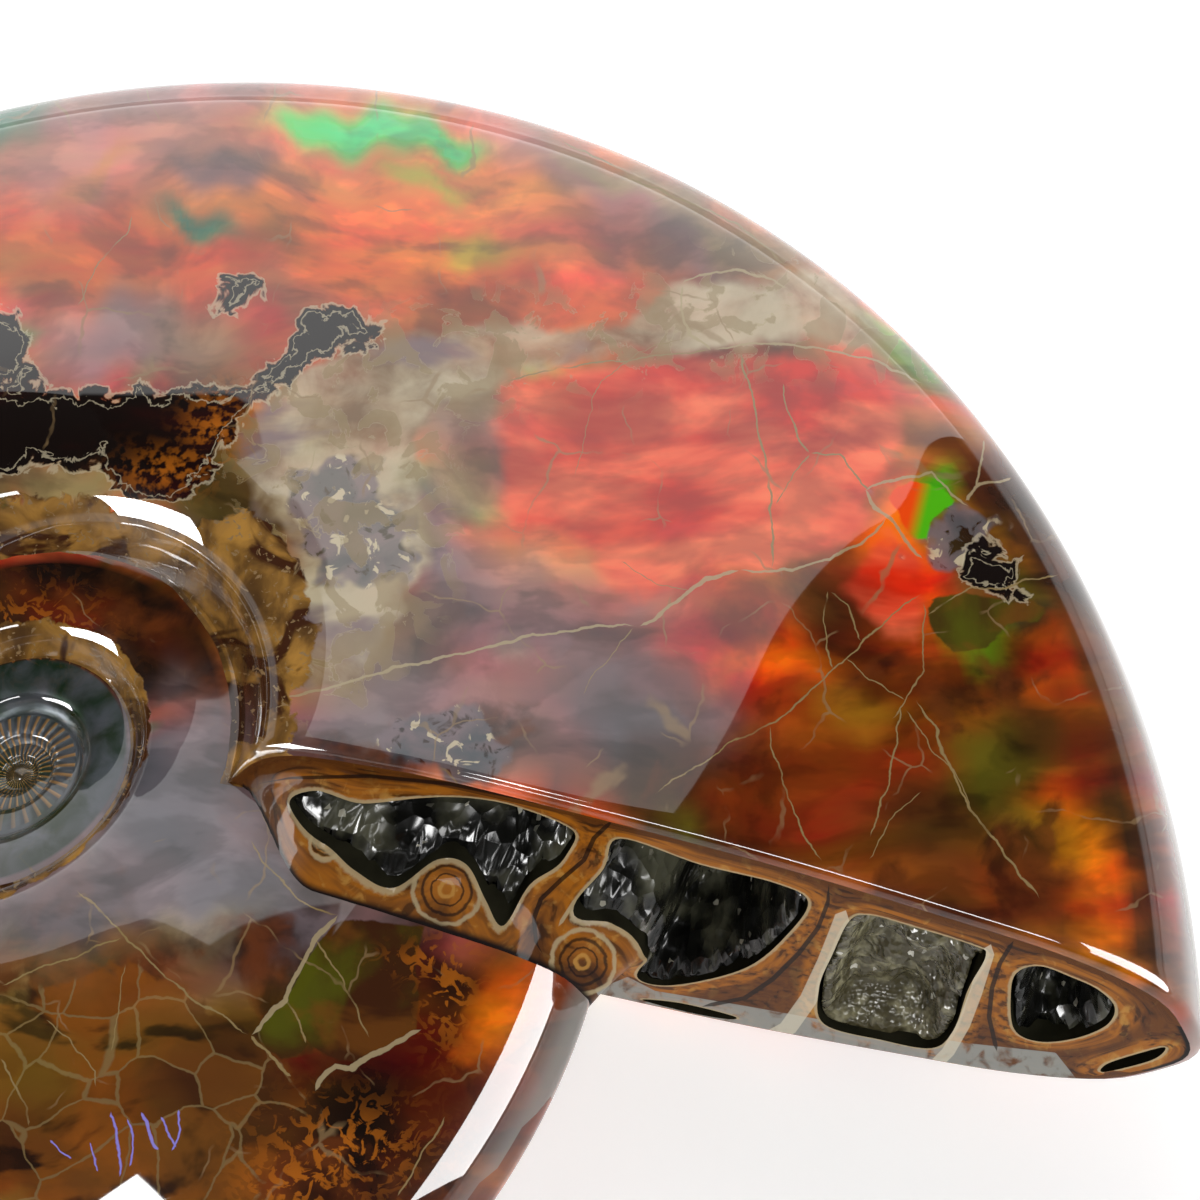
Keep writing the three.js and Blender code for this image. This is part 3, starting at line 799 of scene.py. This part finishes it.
CRACKS = [
    ([(655, 795), (700, 765), (740, 738), (775, 722), (800, 700), (830, 672), (860, 645),
      (905, 605), (925, 590)], 2.4),
    ([(923, 600), (924, 640), (922, 670), (912, 690), (893, 720)], 2.4),
    ([(915, 700), (935, 725), (943, 750), (958, 790), (985, 830), (1010, 860), (1040, 900)], 3.2),
    ([(905, 710), (930, 745), (955, 775), (975, 815), (1000, 850)], 2.0),
    ([(770, 725), (772, 745), (780, 775), (795, 815), (820, 862)], 2.4),
    ([(828, 592), (823, 620), (826, 645), (834, 668)], 2.2),
    ([(830, 594), (845, 605), (855, 625), (862, 642)], 2.2),
    ([(845, 658), (870, 680), (890, 692), (905, 700)], 2.0),
    ([(740, 352), (757, 420), (768, 480), (774, 540), (771, 570)], 3.0),
    ([(782, 380), (790, 420), (800, 442), (812, 455)], 2.6),
    ([(812, 455), (840, 455), (855, 475), (868, 492)], 3.0),
    ([(812, 455), (795, 472), (775, 505)], 2.2),
    ([(925, 614), (950, 602), (972, 588), (1000, 590), (1030, 580), (1060, 573)], 2.4),
    ([(560, 138), (640, 183), (700, 206), (740, 226), (762, 246), (790, 268)], 3.0),
    ([(495, 384), (560, 368), (640, 357), (712, 351)], 2.2),
    ([(690, 335), (640, 350), (600, 380), (572, 478)], 1.6),
    ([(636, 628), (610, 655), (580, 695)], 1.6),
    ([(620, 560), (660, 585), (690, 590)], 1.6),
    ([(900, 705), (898, 740), (885, 790), (868, 840)], 2.4),
    ([(922, 790), (890, 820), (868, 862)], 1.8),
    ([(133, 215), (125, 235), (95, 268), (78, 305)], 2.0),
    ([(250, 1034), (270, 1056), (291, 1074)], 4.0),
    ([(315, 940), (345, 985), (370, 1040)], 2.6),
    ([(285, 1000), (298, 1020), (306, 1044)], 2.6),
    ([(75, 890), (125, 936), (160, 972), (190, 996), (247, 1034)], 2.8),
    ([(0, 986), (60, 962), (122, 936)], 2.6),
    ([(45, 1020), (70, 1040), (95, 1070), (96, 1088)], 2.4),
    ([(127, 962), (118, 1010), (110, 1052)], 2.0),
    ([(0, 1060), (20, 1090), (30, 1128)], 2.6),
    ([(250, 840), (280, 880), (305, 905), (340, 915)], 2.6),
    ([(445, 1118), (420, 1160), (396, 1200)], 2.6),
]
# Painted reflection: short blue-violet streaks beside the top lamp's glare, standing in for its light split
# into colours
REFLECTION_STREAKS = [
    ([(112, 1112), (118, 1145), (120, 1178)], 3.0),
    ([(126, 1118), (134, 1140), (130, 1168)], 3.0),
    ([(143, 1112), (150, 1138), (156, 1150)], 4.0),
    ([(160, 1116), (168, 1134), (176, 1146)], 3.0),
    ([(178, 1110), (180, 1128), (172, 1150)], 3.0),
    ([(90, 1142), (94, 1156), (98, 1172)], 2.4),
    ([(50, 1138), (60, 1150), (72, 1158)], 2.4),
]
RIBS_PER_RADIAN = 34.0

# Faces near a line or the shards carry all the markings, faces near a painted region carry the
# regions only, and the other faces are plain. The faces in and beside the umbilicus carry its
# wall as well. The margins are in millimetres, pixels and hundreds of pixels.
PLAIN = 0
PATTERNED = 3
VEINED = 4
WALLED = 5
WALL_MARGIN = 1.05
LINE_MARGIN = 26
SHARD_MARGIN = 0.4
REGION_MARGIN = 0.58
LEAST_RUST = 0.005
PAINTED = ("dark", "pale", "window", "crystal", "flash", "olive")
near_line = depths["shards"] > -SHARD_MARGIN
for places, _ in VEINS + CRACKS + REFLECTION_STREAKS:
    near_line |= line_distance(pixels, np.array(places, float)) < LINE_MARGIN
near_wall = (up_the_wall > -WALL_MARGIN) | (whorl > 0)
near_paint = rusty * known > LEAST_RUST
for name in PAINTED:
    near_paint |= depths[name] > -REGION_MARGIN
skin_faces = fossil.data.polygons
first_corners = np.empty(len(skin_faces), np.int32)
skin_faces.foreach_get("loop_start", first_corners)
face_corners = np.empty(len(fossil.data.loops), np.int32)
fossil.data.loops.foreach_get("vertex_index", face_corners)
kinds = np.empty(len(skin_faces), np.int32)
skin_faces.foreach_get("material_index", kinds)
flank = kinds == PLAIN
kinds[flank & np.logical_or.reduceat(near_paint[face_corners], first_corners)] = PATTERNED
kinds[flank & np.logical_or.reduceat(near_line[face_corners], first_corners)] = VEINED
kinds[flank & np.logical_or.reduceat(near_wall[face_corners], first_corners)] = WALLED
skin_faces.foreach_set("material_index", kinds)


class Nacre(Brush):
    """The flank's polish, with the noises that its colours and markings share."""

    def __init__(self, name):
        super().__init__(name)
        self.photo = self.stored("photo", "Vector")
        self.coil = self.add("ShaderNodeSeparateXYZ", {0: self.stored("coil", "Vector")}).outputs
        whole = self.add("ShaderNodeTexCoord", {}).outputs["Object"]
        bend = self.stretch(self.noise(self.photo, 34, 3.0, 0.0, "Color"), (0.014, 0.014, 0.0))
        self.bent = self.moved(self.moved(self.photo, bend), (-0.007, -0.007, 0.0))
        self.drift = self.stretch(self.noise(self.photo, 4, 1.0, 0.0, "Color"), (0.12, 0.12, 0.0))
        flowing = self.moved(self.photo, self.drift)
        self.streak = self.noise(self.stretch(flowing, (5.0, 15.0, 1.0)), 1.0, 4.0, 0.3)
        self.fibre = self.noise(self.stretch(flowing, (10.0, 32.0, 1.0)), 1.0, 3.0, 0.2)
        self.flakes = self.noise(self.stretch(flowing, (9.0, 18.0, 1.0)), 1.0, 4.0, 0.2)
        self.frill = self.math('SUBTRACT', self.noise(self.photo, 46, 4.0, 0.6), 0.5)
        self.ragged = self.math('SUBTRACT', self.noise(self.photo, 14, 3.0), 0.5)
        self.earth = self.noise(self.photo, 7.0, 6.0, 0.5)
        self.flecks = self.noise(self.photo, 120, 3.0, 1.0)
        self.mottle = self.noise(whole, 620, 4.0, 0.4)
        self.speck = self.noise(whole, 2600, 2.0)

    def region(self, name, rough, reach, low, high):
        """A mask for a stored region, with its edge made ragged by a noise."""
        return self.smooth(self.plus(self.stored(name), self.times(rough, reach)), low, high)

    def lines(self, routes):
        return self.together([self.line(self.bent, places, width) for places, width in routes])

    def pearl(self):
        """Flakes of soft colour, some brighter and some darker, with brown earth in places."""
        glow = self.plus(self.times(self.fibre, 0.6), 0.62)
        glow = self.plus(glow, self.times(self.smooth(self.flakes, 0.50, 0.60), 0.40))
        glow = self.math('SUBTRACT', glow, self.times(self.smooth(self.flakes, 0.47, 0.36), 0.40))
        colour = self.add("ShaderNodeHueSaturation", {
            "Hue": self.plus(self.times(self.streak, 0.10), 0.461), "Value": glow,
            "Color": self.stored("tint", "Color")}).outputs[0]
        soil = self.blend(self.smooth(self.mottle, 0.35, 0.65), "night", "sepia")
        patches = self.times(self.smooth(self.earth, 0.50, 0.58), self.stored("earthy"))
        return self.mix(patches, colour, soil)

    def regions(self, colour):
        """The red window, the khaki band, crystals, rubble, the green flash and the olive piece."""
        window = self.blend(self.smooth(self.streak, 0.35, 0.65), "ember", "coral")
        window = self.over(window, self.smooth(self.fibre, 0.5, 0.7), 0.6, "rose")
        shine = self.plus(self.times(self.smooth(self.flakes, 0.42, 0.6), 0.5), 0.8)
        window = self.add("ShaderNodeHueSaturation", {"Value": shine, "Color": window}).outputs[0]
        mask = self.region("window", self.ragged, 0.5, -0.05, 0.16)
        colour = self.mix(self.times(mask, 0.85), colour, window)

        stone = self.blend(self.smooth(self.mottle, 0.3, 0.7), "umber", "cream")
        stone = self.mix(0.6, stone, self.paint("khaki"))
        stone = self.over(stone, self.smooth(self.earth, 0.45, 0.62), 1.0, "cream")
        stone = self.over(stone, self.smooth(self.streak, 0.52, 0.66), 1.0, "lilac")
        mask = self.region("pale", self.ragged, 0.7, -0.05, 0.12)
        colour = self.mix(self.times(mask, 0.8), colour, stone)

        grains = self.noise(self.photo, 52, 5.0, 0.9)
        crystal = self.blend(self.smooth(self.mottle, 0.35, 0.65), "slate", "lilac")
        crystal = self.over(crystal, self.smooth(grains, 0.60, 0.64), 1.0, "cream")
        crystal = self.over(crystal, self.smooth(grains, 0.42, 0.34), 1.0, "night")
        mask = self.region("crystal", self.ragged, 1.6, -0.03, 0.10)
        colour = self.mix(self.times(mask, 0.8), colour, crystal)

        rubble = self.noise(self.photo, 24, 5.0, 0.7)
        stony = self.smooth(self.stored("pale"), -0.55, 0.1)
        colour = self.over(colour, self.times(self.smooth(rubble, 0.53, 0.55), stony), 0.6, "rope")
        edge = self.math('ABSOLUTE', self.math('SUBTRACT', rubble, 0.53))
        colour = self.over(colour, self.times(self.smooth(edge, 0.008, 0.002), stony), 0.5, "bone")

        across = self.along(self.photo, (1.0, 0.25, 0.0))
        flash = self.blend(self.smooth(across, 1.036, 1.056), "flame", "leaf")
        colour = self.mix(self.region("flash", self.frill, 0.1, 0.0, 0.03), colour, flash)
        moss = self.blend(self.smooth(self.earth, 0.4, 0.6), "umber", "olive")
        moss = self.over(moss, self.smooth(self.flakes, 0.5, 0.62), 0.6, "ochre")
        return self.mix(self.region("olive", self.frill, 0.1, 0.0, 0.03), colour, moss)

    def shards(self, colour):
        """Broken plates of calcite, parted by pale seams."""
        broken = self.moved(self.bent, self.drift)
        tone = self.cells(broken, 15.0, 'F1', "Color")
        seam = self.cells(broken, 15.0, 'DISTANCE_TO_EDGE')
        shard = self.blend(self.smooth(tone, 0.3, 0.6), "umber", "ochre")
        shard = self.over(shard, self.smooth(self.earth, 0.48, 0.6), 0.5, "amber")
        shard = self.over(shard, self.smooth(self.flakes, 0.46, 0.38), 1.0, "night")
        shard = self.over(shard, self.smooth(seam, 0.022, 0.008), 0.8, "rope")
        mask = self.region("shards", self.frill, 0.5, -0.05, 0.1)
        return self.mix(self.times(mask, 0.6), colour, shard)

    def chambers(self, colour):
        """Dark chambers with rusty crumbs, edged by two pale, frilled suture lines."""
        edge = self.plus(self.stored("dark"), self.times(self.frill, 0.55))
        rusty = self.stored("rusty")
        inside = self.blend(self.times(rusty, self.smooth(self.speck, 0.42, 0.62)), "night", "amber")
        inside = self.over(inside, self.smooth(self.streak, 0.5, 0.8), 0.35, "wine")
        crumbs = self.smooth(self.noise(self.photo, 60, 4.0, 1.4), 0.5, 0.56)
        colour = self.over(colour, self.times(rusty, crumbs), 0.9, "amber")
        colour = self.mix(self.smooth(edge, -0.01, 0.04), colour, inside)
        outer = self.smooth(self.math('ABSOLUTE', edge), 0.030, 0.004)
        inner = self.smooth(self.math('ABSOLUTE', self.math('SUBTRACT', edge, 0.11)), 0.016, 0.004)
        return self.over(colour, self.math('MAXIMUM', outer, inner), 0.5, "cream")

    def crackle(self, colour):
        """A broken net of hair cracks."""
        wander = self.stretch(self.noise(self.photo, 16, 3.0, 0.0, "Color"), (0.05, 0.05, 0.0))
        net = self.smooth(self.cells(self.moved(self.photo, wander), 9.0, 'DISTANCE_TO_EDGE'), 0.014, 0.004)
        return self.over(colour, self.times(net, self.smooth(self.ragged, 0.0, 0.12)), 0.6, "khaki")

    def long_lines(self, colour):
        """The cracks, the veins, and short blue-violet streaks of painted reflection beside a lamp's glare.
        """
        cracks = self.times(self.lines(CRACKS), self.smooth(self.mottle, 0.2, 0.5))
        colour = self.over(colour, cracks, 1.0, "rope")
        colour = self.over(colour, self.lines(VEINS), 0.8, "bone")
        return self.over(colour, self.lines(REFLECTION_STREAKS), 1.0, "iris")

    def umbilicus(self, colour):
        """The golden, rounded umbilical wall, and the steely inner whorls with their ribs."""
        angle, _, turns = self.coil
        wall = self.smooth(self.plus(self.stored("wall"), self.times(self.frill, 2.0)), -0.05, 0.15)
        honey = self.blend(self.smooth(self.mottle, 0.3, 0.7), "bark", "straw")
        clouds = self.noise(self.photo, 16, 4.0, 1.0)
        honey = self.over(honey, self.smooth(clouds, 0.5, 0.60), 1.0, "umber")
        honey = self.over(honey, self.smooth(self.flecks, 0.60, 0.66), 1.0, "khaki")
        colour = self.mix(self.times(wall, self.smooth(turns, 2.0, 1.8)), colour, honey)
        steel = self.smooth(turns, 1.5, 1.9)
        grey = self.blend(self.smooth(self.mottle, 0.3, 0.7), "bottle", "slate")
        colour = self.mix(self.times(steel, 0.92), colour, grey)
        wave = self.math('SINE', self.times(angle, RIBS_PER_RADIAN))
        ribbed = self.smooth(turns, 2.7, 3.0)
        colour = self.over(colour, self.times(self.smooth(wave, 0.3, 0.8), ribbed), 0.5, "straw")
        self.feed(self.shader.inputs["Metallic"], self.times(steel, 0.4))
        rise = self.times(self.smooth(self.stored("wall"), -0.2, 2.4), 24.0)
        rise = self.times(self.plus(self.times(wave, ribbed), rise), 0.1)
        rise = self.plus(rise, self.times(self.times(self.mottle, wall), 0.5))
        bump = self.add("ShaderNodeBump", {"Height": rise, "Distance": 0.0004, "Strength": 0.6})
        self.feed(self.shader.inputs["Normal"], bump.outputs[0])
        return colour

    def finish(self, colour):
        """A painted reflection of the white surroundings as a grey band along the keel, and a mirror polish
        that is missing in a few dull places.
        """
        # Painted reflection: grey along the keel stands in for the white floor mirrored at a grazing angle
        colour = self.over(colour, self.smooth(self.coil[1], 4.44, 4.57), 0.6, "reflected_grey")
        self.feed(self.shader.inputs["Base Color"], colour)
        self.feed(self.shader.inputs["Roughness"], 0.34)
        coat = self.math('SUBTRACT', 1.0, self.smooth(self.stored("dull"), 0.0, 0.05))
        self.feed(self.shader.inputs["Coat Weight"], coat)
        self.shader.inputs["Coat Roughness"].default_value = 0.02
        self.shader.inputs["Coat IOR"].default_value = 1.5
        self.shader.inputs["Specular IOR Level"].default_value = 0.02


def nacre(name, painted=False, lined=False, walled=False):
    """The material of some of the skin's faces, with or without regions, lines and umbilicus."""
    polish = Nacre(name)
    colour = polish.pearl()
    if painted:
        colour = polish.regions(colour)
    if lined:
        colour = polish.shards(colour)
    if painted:
        colour = polish.chambers(colour)
    colour = polish.crackle(colour)
    if lined:
        colour = polish.long_lines(colour)
    if walled:
        colour = polish.umbilicus(colour)
    polish.finish(colour)
    return polish.material


fossil.data.materials.append(nacre("polished_nacre"))

# The cut end: fibrous golden calcite, with dark lines in the middle of each septum, and a painted
# reflection of the white floor as a grey strip along its lower edge
cut = Brush("cut_calcite")
photo = cut.stored("face_photo", "Vector")
FACE_LINES = [
    ([(614, 819), (594, 838), (584, 860), (562, 879), (541, 899), (534, 918), (536, 943), (544, 956)], 6),
    ([(829, 883), (828, 902), (818, 928), (799, 953), (773, 979), (745, 998), (700, 1007)], 6),
    ([(1014, 940), (1000, 963), (992, 988), (989, 1017), (997, 1052)], 6),
    ([(250, 785), (290, 778), (370, 776), (450, 784), (560, 806), (660, 832), (760, 856),
      (860, 885), (960, 912), (1060, 950), (1150, 990)], 5),
]
PALE_LINES = [
    ([(625, 838), (602, 873), (574, 902), (558, 927)], 5),
    ([(577, 828), (562, 857), (527, 883), (507, 913), (504, 924)], 4),
    ([(291, 812), (308, 825), (337, 827), (347, 849), (382, 867), (405, 880)], 5),
]
WIDE_LINES = [
    ([(846, 910), (837, 934), (825, 964), (808, 1000), (788, 1028), (766, 1040)], 20),
    ([(991, 944), (985, 963), (976, 992), (964, 1024), (948, 1052), (932, 1068)], 15),
]
LOW_REFLECTION_STRIP = ([(595, 990), (650, 1018), (740, 1033), (850, 1053), (960, 1070), (1080, 1083)], 62)
SHELL_RINGS = [(447, 890, 34), (583, 962, 32), (325, 845, 15)]
RING_BANDS = [(1.0, 0.0032, "bone"), (0.72, 0.0026, "night"), (0.45, 0.0016, "night"),
              (0.2, 0.0030, "straw")]
from_edge = cut.stored("edge_gap")
from_hollow = cut.stored("hollow_gap")
fibres = cut.noise(photo, 60, 5.0, 0.6)
grain = cut.noise(photo, 160, 3.0, 0.6)
bands = cut.add("ShaderNodeCombineXYZ", {
    0: cut.times(from_hollow, 3.4), 1: cut.times(from_edge, 2.2),
    2: cut.times(cut.along(photo, (1.0, 0.3, 0.0)), 9.0)}).outputs[0]
layers = cut.noise(bands, 1.0, 2.0, 0.2)
depth = cut.plus(from_hollow, cut.times(cut.math('SUBTRACT', fibres, 0.5), 0.5))
colour = cut.blend(cut.smooth(layers, 0.40, 0.62), "ochre", "gold")
colour = cut.over(colour, cut.smooth(fibres, 0.54, 0.70), 0.7, "straw")
colour = cut.over(colour, cut.smooth(depth, 0.55, 1.0), 0.75, "umber")
colour = cut.over(colour, cut.smooth(layers, 0.42, 0.34), 0.6, "night")
# Painted reflection: a grey strip along the lower edge of the cut end stands in for the white floor
# mirrored there
reflection_strip = cut.line(photo, *LOW_REFLECTION_STRIP)
reflection_strip = cut.times(reflection_strip, cut.smooth(fibres, 0.25, 0.5))
colour = cut.over(colour, reflection_strip, 0.85, "reflected_grey")
wavy = cut.times(cut.math('SUBTRACT', fibres, 0.5), 0.008)
for x, y, outer in SHELL_RINGS:
    away = cut.add("ShaderNodeVectorMath", {0: photo, 1: (x * PIXELS, y * PIXELS, 1.0)},
                   operation='DISTANCE').outputs["Value"]
    away = cut.plus(away, wavy)
    for share, width, name in RING_BANDS:
        off = cut.math('ABSOLUTE', cut.math('SUBTRACT', away, share * outer * PIXELS))
        colour = cut.over(colour, cut.smooth(off, width, width * 0.3), 0.8, name)
dark_lines = cut.together([cut.line(photo, places, width) for places, width in FACE_LINES])
colour = cut.over(colour, dark_lines, 0.85, "night")
pale_lines = cut.together([cut.line(photo, places, width) for places, width in PALE_LINES])
rim = cut.plus(from_hollow, cut.times(grain, 0.1))
pale_lines = cut.math('MAXIMUM', pale_lines, cut.smooth(rim, 0.20, 0.12))
colour = cut.over(colour, pale_lines, 0.8, "bone")
wide_lines = cut.together([cut.line(photo, places, width) for places, width in WIDE_LINES])
colour = cut.over(colour, wide_lines, 0.55, "chalk")
colour = cut.over(colour, cut.smooth(from_edge, 0.22, 0.10), 1.0, "night")
cut.feed(cut.shader.inputs["Base Color"], colour)
cut.shader.inputs["Roughness"].default_value = 0.4
cut.shader.inputs["Specular IOR Level"].default_value = 0.02
cut.shader.inputs["Coat Weight"].default_value = 0.08
cut.shader.inputs["Coat Roughness"].default_value = 0.03
fossil.data.materials.append(cut.material)

hollow = Brush("hollow_wall")
whole = hollow.add("ShaderNodeTexCoord", {}).outputs["Object"]
tone = hollow.mix(hollow.noise(whole, 900, 3.0), (0.004, 0.004, 0.003, 1), (0.03, 0.028, 0.016, 1))
hollow.feed(hollow.shader.inputs["Base Color"], tone)
hollow.shader.inputs["Roughness"].default_value = 0.6
hollow.shader.inputs["Specular IOR Level"].default_value = 0.0
fossil.data.materials.append(hollow.material)

# The slots follow the numbers of the faces: plain, cut, hollow, patterned, veined and walled
fossil.data.materials.append(nacre("patterned_nacre", painted=True))
fossil.data.materials.append(nacre("veined_nacre", painted=True, lined=True))
fossil.data.materials.append(nacre("umbilical_nacre", painted=True, lined=True, walled=True))


# The crystals
# The four chambers are lined with small, dark crystals of pyrite and calcite. In each, one closed piece
# fills the foot of the hollow and rises up its walls, with a faceted front.
LINING_GAP = 0.00012
CRYSTAL_CELL = 0.00026
SLOPE_WIDTH = 0.0014


def crystal_brush(name, deep, light, glint_colour, facets_per_metre):
    """A crust between two tones, with bumped facets and painted glints: bright specks of colour stand in
    for light caught by the facets.
    """
    brush = Brush(name)
    whole = brush.add("ShaderNodeTexCoord", {}).outputs["Object"]
    patches = brush.noise(whole, facets_per_metre * 0.4, 4.0)
    glint_cells = brush.cells(whole, 5200, 'F1', "Color")
    shade = brush.mix(brush.smooth(patches, 0.45, 0.68), deep, light)
    # Painted glints: bright specks of colour laid over the crust
    shade = brush.mix(brush.smooth(glint_cells, 0.90, 0.94), shade, glint_colour)
    brush.feed(brush.shader.inputs["Base Color"], shade)
    brush.shader.inputs["Specular IOR Level"].default_value = 0.3
    brush.shader.inputs["Roughness"].default_value = 0.2
    facets = brush.add("ShaderNodeBump", {"Height": brush.cells(whole, facets_per_metre),
                                          "Distance": 0.33 / facets_per_metre})
    brush.feed(brush.shader.inputs["Normal"], facets.outputs[0])
    return brush


pyrite = crystal_brush("pyrite_crust", (0.006, 0.006, 0.005, 1), (0.08, 0.078, 0.05, 1),
                       (0.4, 0.38, 0.3, 1), 1100)
drusy = crystal_brush("drusy_crust", (0.07, 0.06, 0.03, 1), (0.24, 0.22, 0.13, 1), (0.6, 0.58, 0.5, 1),
                      3600)


def shrunk(outline, gap):
    """An outline moved inward, dropping the points that would cross over."""
    run = np.roll(outline, -1, axis=0) - np.roll(outline, 1, axis=0)
    side = np.stack([-run[:, 1], run[:, 0]], axis=1) / np.linalg.norm(run, axis=1)[:, None]
    moved = outline + side * gap
    if not is_inside(moved, outline).mean() > 0.5:
        moved = outline - side * gap
    keep = loop_distance(moved, outline) < -0.9 * gap
    return moved[keep]


for name, front_gap in (("inner_chamber", 0.0002), ("middle_chamber", 0.0002), ("outer_chamber", 0.0003),
                        ("keel_chamber", 0.0002)):
    chamber = CHAMBERS[name]
    loop = shrunk(chamber["outline"], LINING_GAP)
    places, triangles, _ = fill_flat([loop], CRYSTAL_CELL)
    from_wall = -loop_distance(places, loop)
    floor_depth = chamber["depth"] - LINING_GAP
    shelter = 1 - smooth_step(from_wall / SLOPE_WIDTH)
    rough = np.array([noise.noise(Vector((x * 600, z * 600, 2.0))) + 0.4 * noise.noise(
        Vector((x * 2600, z * 2600, 5.0))) for x, z in places])
    bed = floor_depth - chamber["lining"] * 1.6
    front = face_depth(places) + front_gap
    surface = bed + (front - bed) * shelter ** 1.5 + rough * 0.0008
    surface = np.clip(surface, front, floor_depth - 0.0002)
    count = len(places)
    points = np.concatenate([np.stack([places[:, 0], surface, places[:, 1]], axis=1),
                             np.stack([places[:, 0], np.full(count, floor_depth), places[:, 1]], axis=1)])
    faces = [tuple(int(i) for i in t) for t in triangles]
    faces += [tuple(int(i) + count for i in t[::-1]) for t in triangles]
    sides = [(int(t[k]), int(t[(k + 1) % 3])) for t in triangles for k in range(3)]
    shared = set(sides)
    faces += [(a, b, b + count, a + count) for a, b in sides if (b, a) not in shared]
    crust = shell_mesh(name + "_crystals", points, faces, [0] * len(faces))
    crust.data.shade_smooth()
    crust.data.materials.append(drusy.material if name == "outer_chamber" else pyrite.material)
    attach(crust, "root")
    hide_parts(name + "_crust")


# Floor and light
# A wide softbox hangs low behind the fossil's left, over white paper in a dim room. Its corner
# ends the pale veil on the flank, and four narrow lamps make the small white highlights.
SOFTBOX_CORNER = (-0.029, 0.058)
SOFTBOX_TURN = math.radians(-23.8)
SOFTBOX_SIZE = (3.0, 3.0)
SOFTBOX_HEIGHT = 0.300
SOFTBOX_POWER = 50.0
FILL_POWER = 2.8
FILL_PLACE = (0.25, -0.35, 0.5)
FILL_TURN = (math.radians(38), 0, math.radians(35))
FILL_SIZE = 0.5
GLINTS = [("right_glint", (0.42, 0.02, 0.19), 0.30, 0.34, 6.2),
          ("left_glint", (-0.36, -0.26, 0.15), 0.26, 0.18, 6.6),
          ("front_glint", (0.10, -0.36, 0.40), 0.46, 0.06, 2.2),
          ("top_glint", (-0.033, -0.054, 0.31), 0.036, 0.044, 0.16)]
bpy.ops.object.select_all(action='DESELECT')
bpy.ops.mesh.primitive_plane_add(size=4, location=(0, 0, 0))
floor = bpy.context.active_object
floor.name = "floor"
paper = Brush("paper")
paper.shader.inputs["Base Color"].default_value = (0.9, 0.9, 0.9, 1)
paper.shader.inputs["Roughness"].default_value = 0.9
paper.shader.inputs["Emission Color"].default_value = (1, 1, 1, 1)
paper.shader.inputs["Emission Strength"].default_value = 0.36
floor.data.materials.append(paper.material)

along_edge = Vector((math.cos(SOFTBOX_TURN), math.sin(SOFTBOX_TURN), 0))
away_edge = Vector((-math.sin(SOFTBOX_TURN), math.cos(SOFTBOX_TURN), 0))
centre = Vector((*SOFTBOX_CORNER, SOFTBOX_HEIGHT))
centre += away_edge * SOFTBOX_SIZE[1] / 2 - along_edge * SOFTBOX_SIZE[0] / 2
bpy.ops.object.light_add(type='AREA', location=centre, rotation=(0, 0, SOFTBOX_TURN))
softbox = bpy.context.active_object
softbox.data.shape = 'RECTANGLE'
softbox.data.size, softbox.data.size_y = SOFTBOX_SIZE
softbox.data.energy = SOFTBOX_POWER

bpy.ops.object.light_add(type='AREA', location=FILL_PLACE, rotation=FILL_TURN)
fill = bpy.context.active_object
fill.data.size = FILL_SIZE
fill.data.energy = FILL_POWER
fill.visible_glossy = False
for name, place, width, height, power in GLINTS:
    bpy.ops.object.light_add(type='AREA', location=place)
    glint = bpy.context.active_object
    glint.name = name
    glint.rotation_euler = (Vector(place) - Vector((0, 0, 0.01))).to_track_quat('Z', 'Y').to_euler()
    glint.data.shape = 'RECTANGLE'
    glint.data.size = width
    glint.data.size_y = height
    glint.data.energy = power
    glint.visible_diffuse = False

world = bpy.data.worlds.new("studio")
bpy.context.scene.world = world
world.use_nodes = True
sky = world.node_tree.nodes
direction = sky.new("ShaderNodeTexCoord")
heights = sky.new("ShaderNodeSeparateXYZ")
horizon = sky.new("ShaderNodeMapRange")
world.node_tree.links.new(direction.outputs["Generated"], heights.inputs[0])
world.node_tree.links.new(heights.outputs[2], horizon.inputs["Value"])
horizon.inputs["From Min"].default_value = 0.09
horizon.inputs["From Max"].default_value = 0.13
horizon.inputs["To Min"].default_value = 1.0
horizon.inputs["To Max"].default_value = 0.03
world.node_tree.links.new(horizon.outputs[0], sky["Background"].inputs["Strength"])
sky["Background"].inputs["Color"].default_value = (1, 1, 1, 1)
bpy.context.scene.view_settings.view_transform = 'Standard'
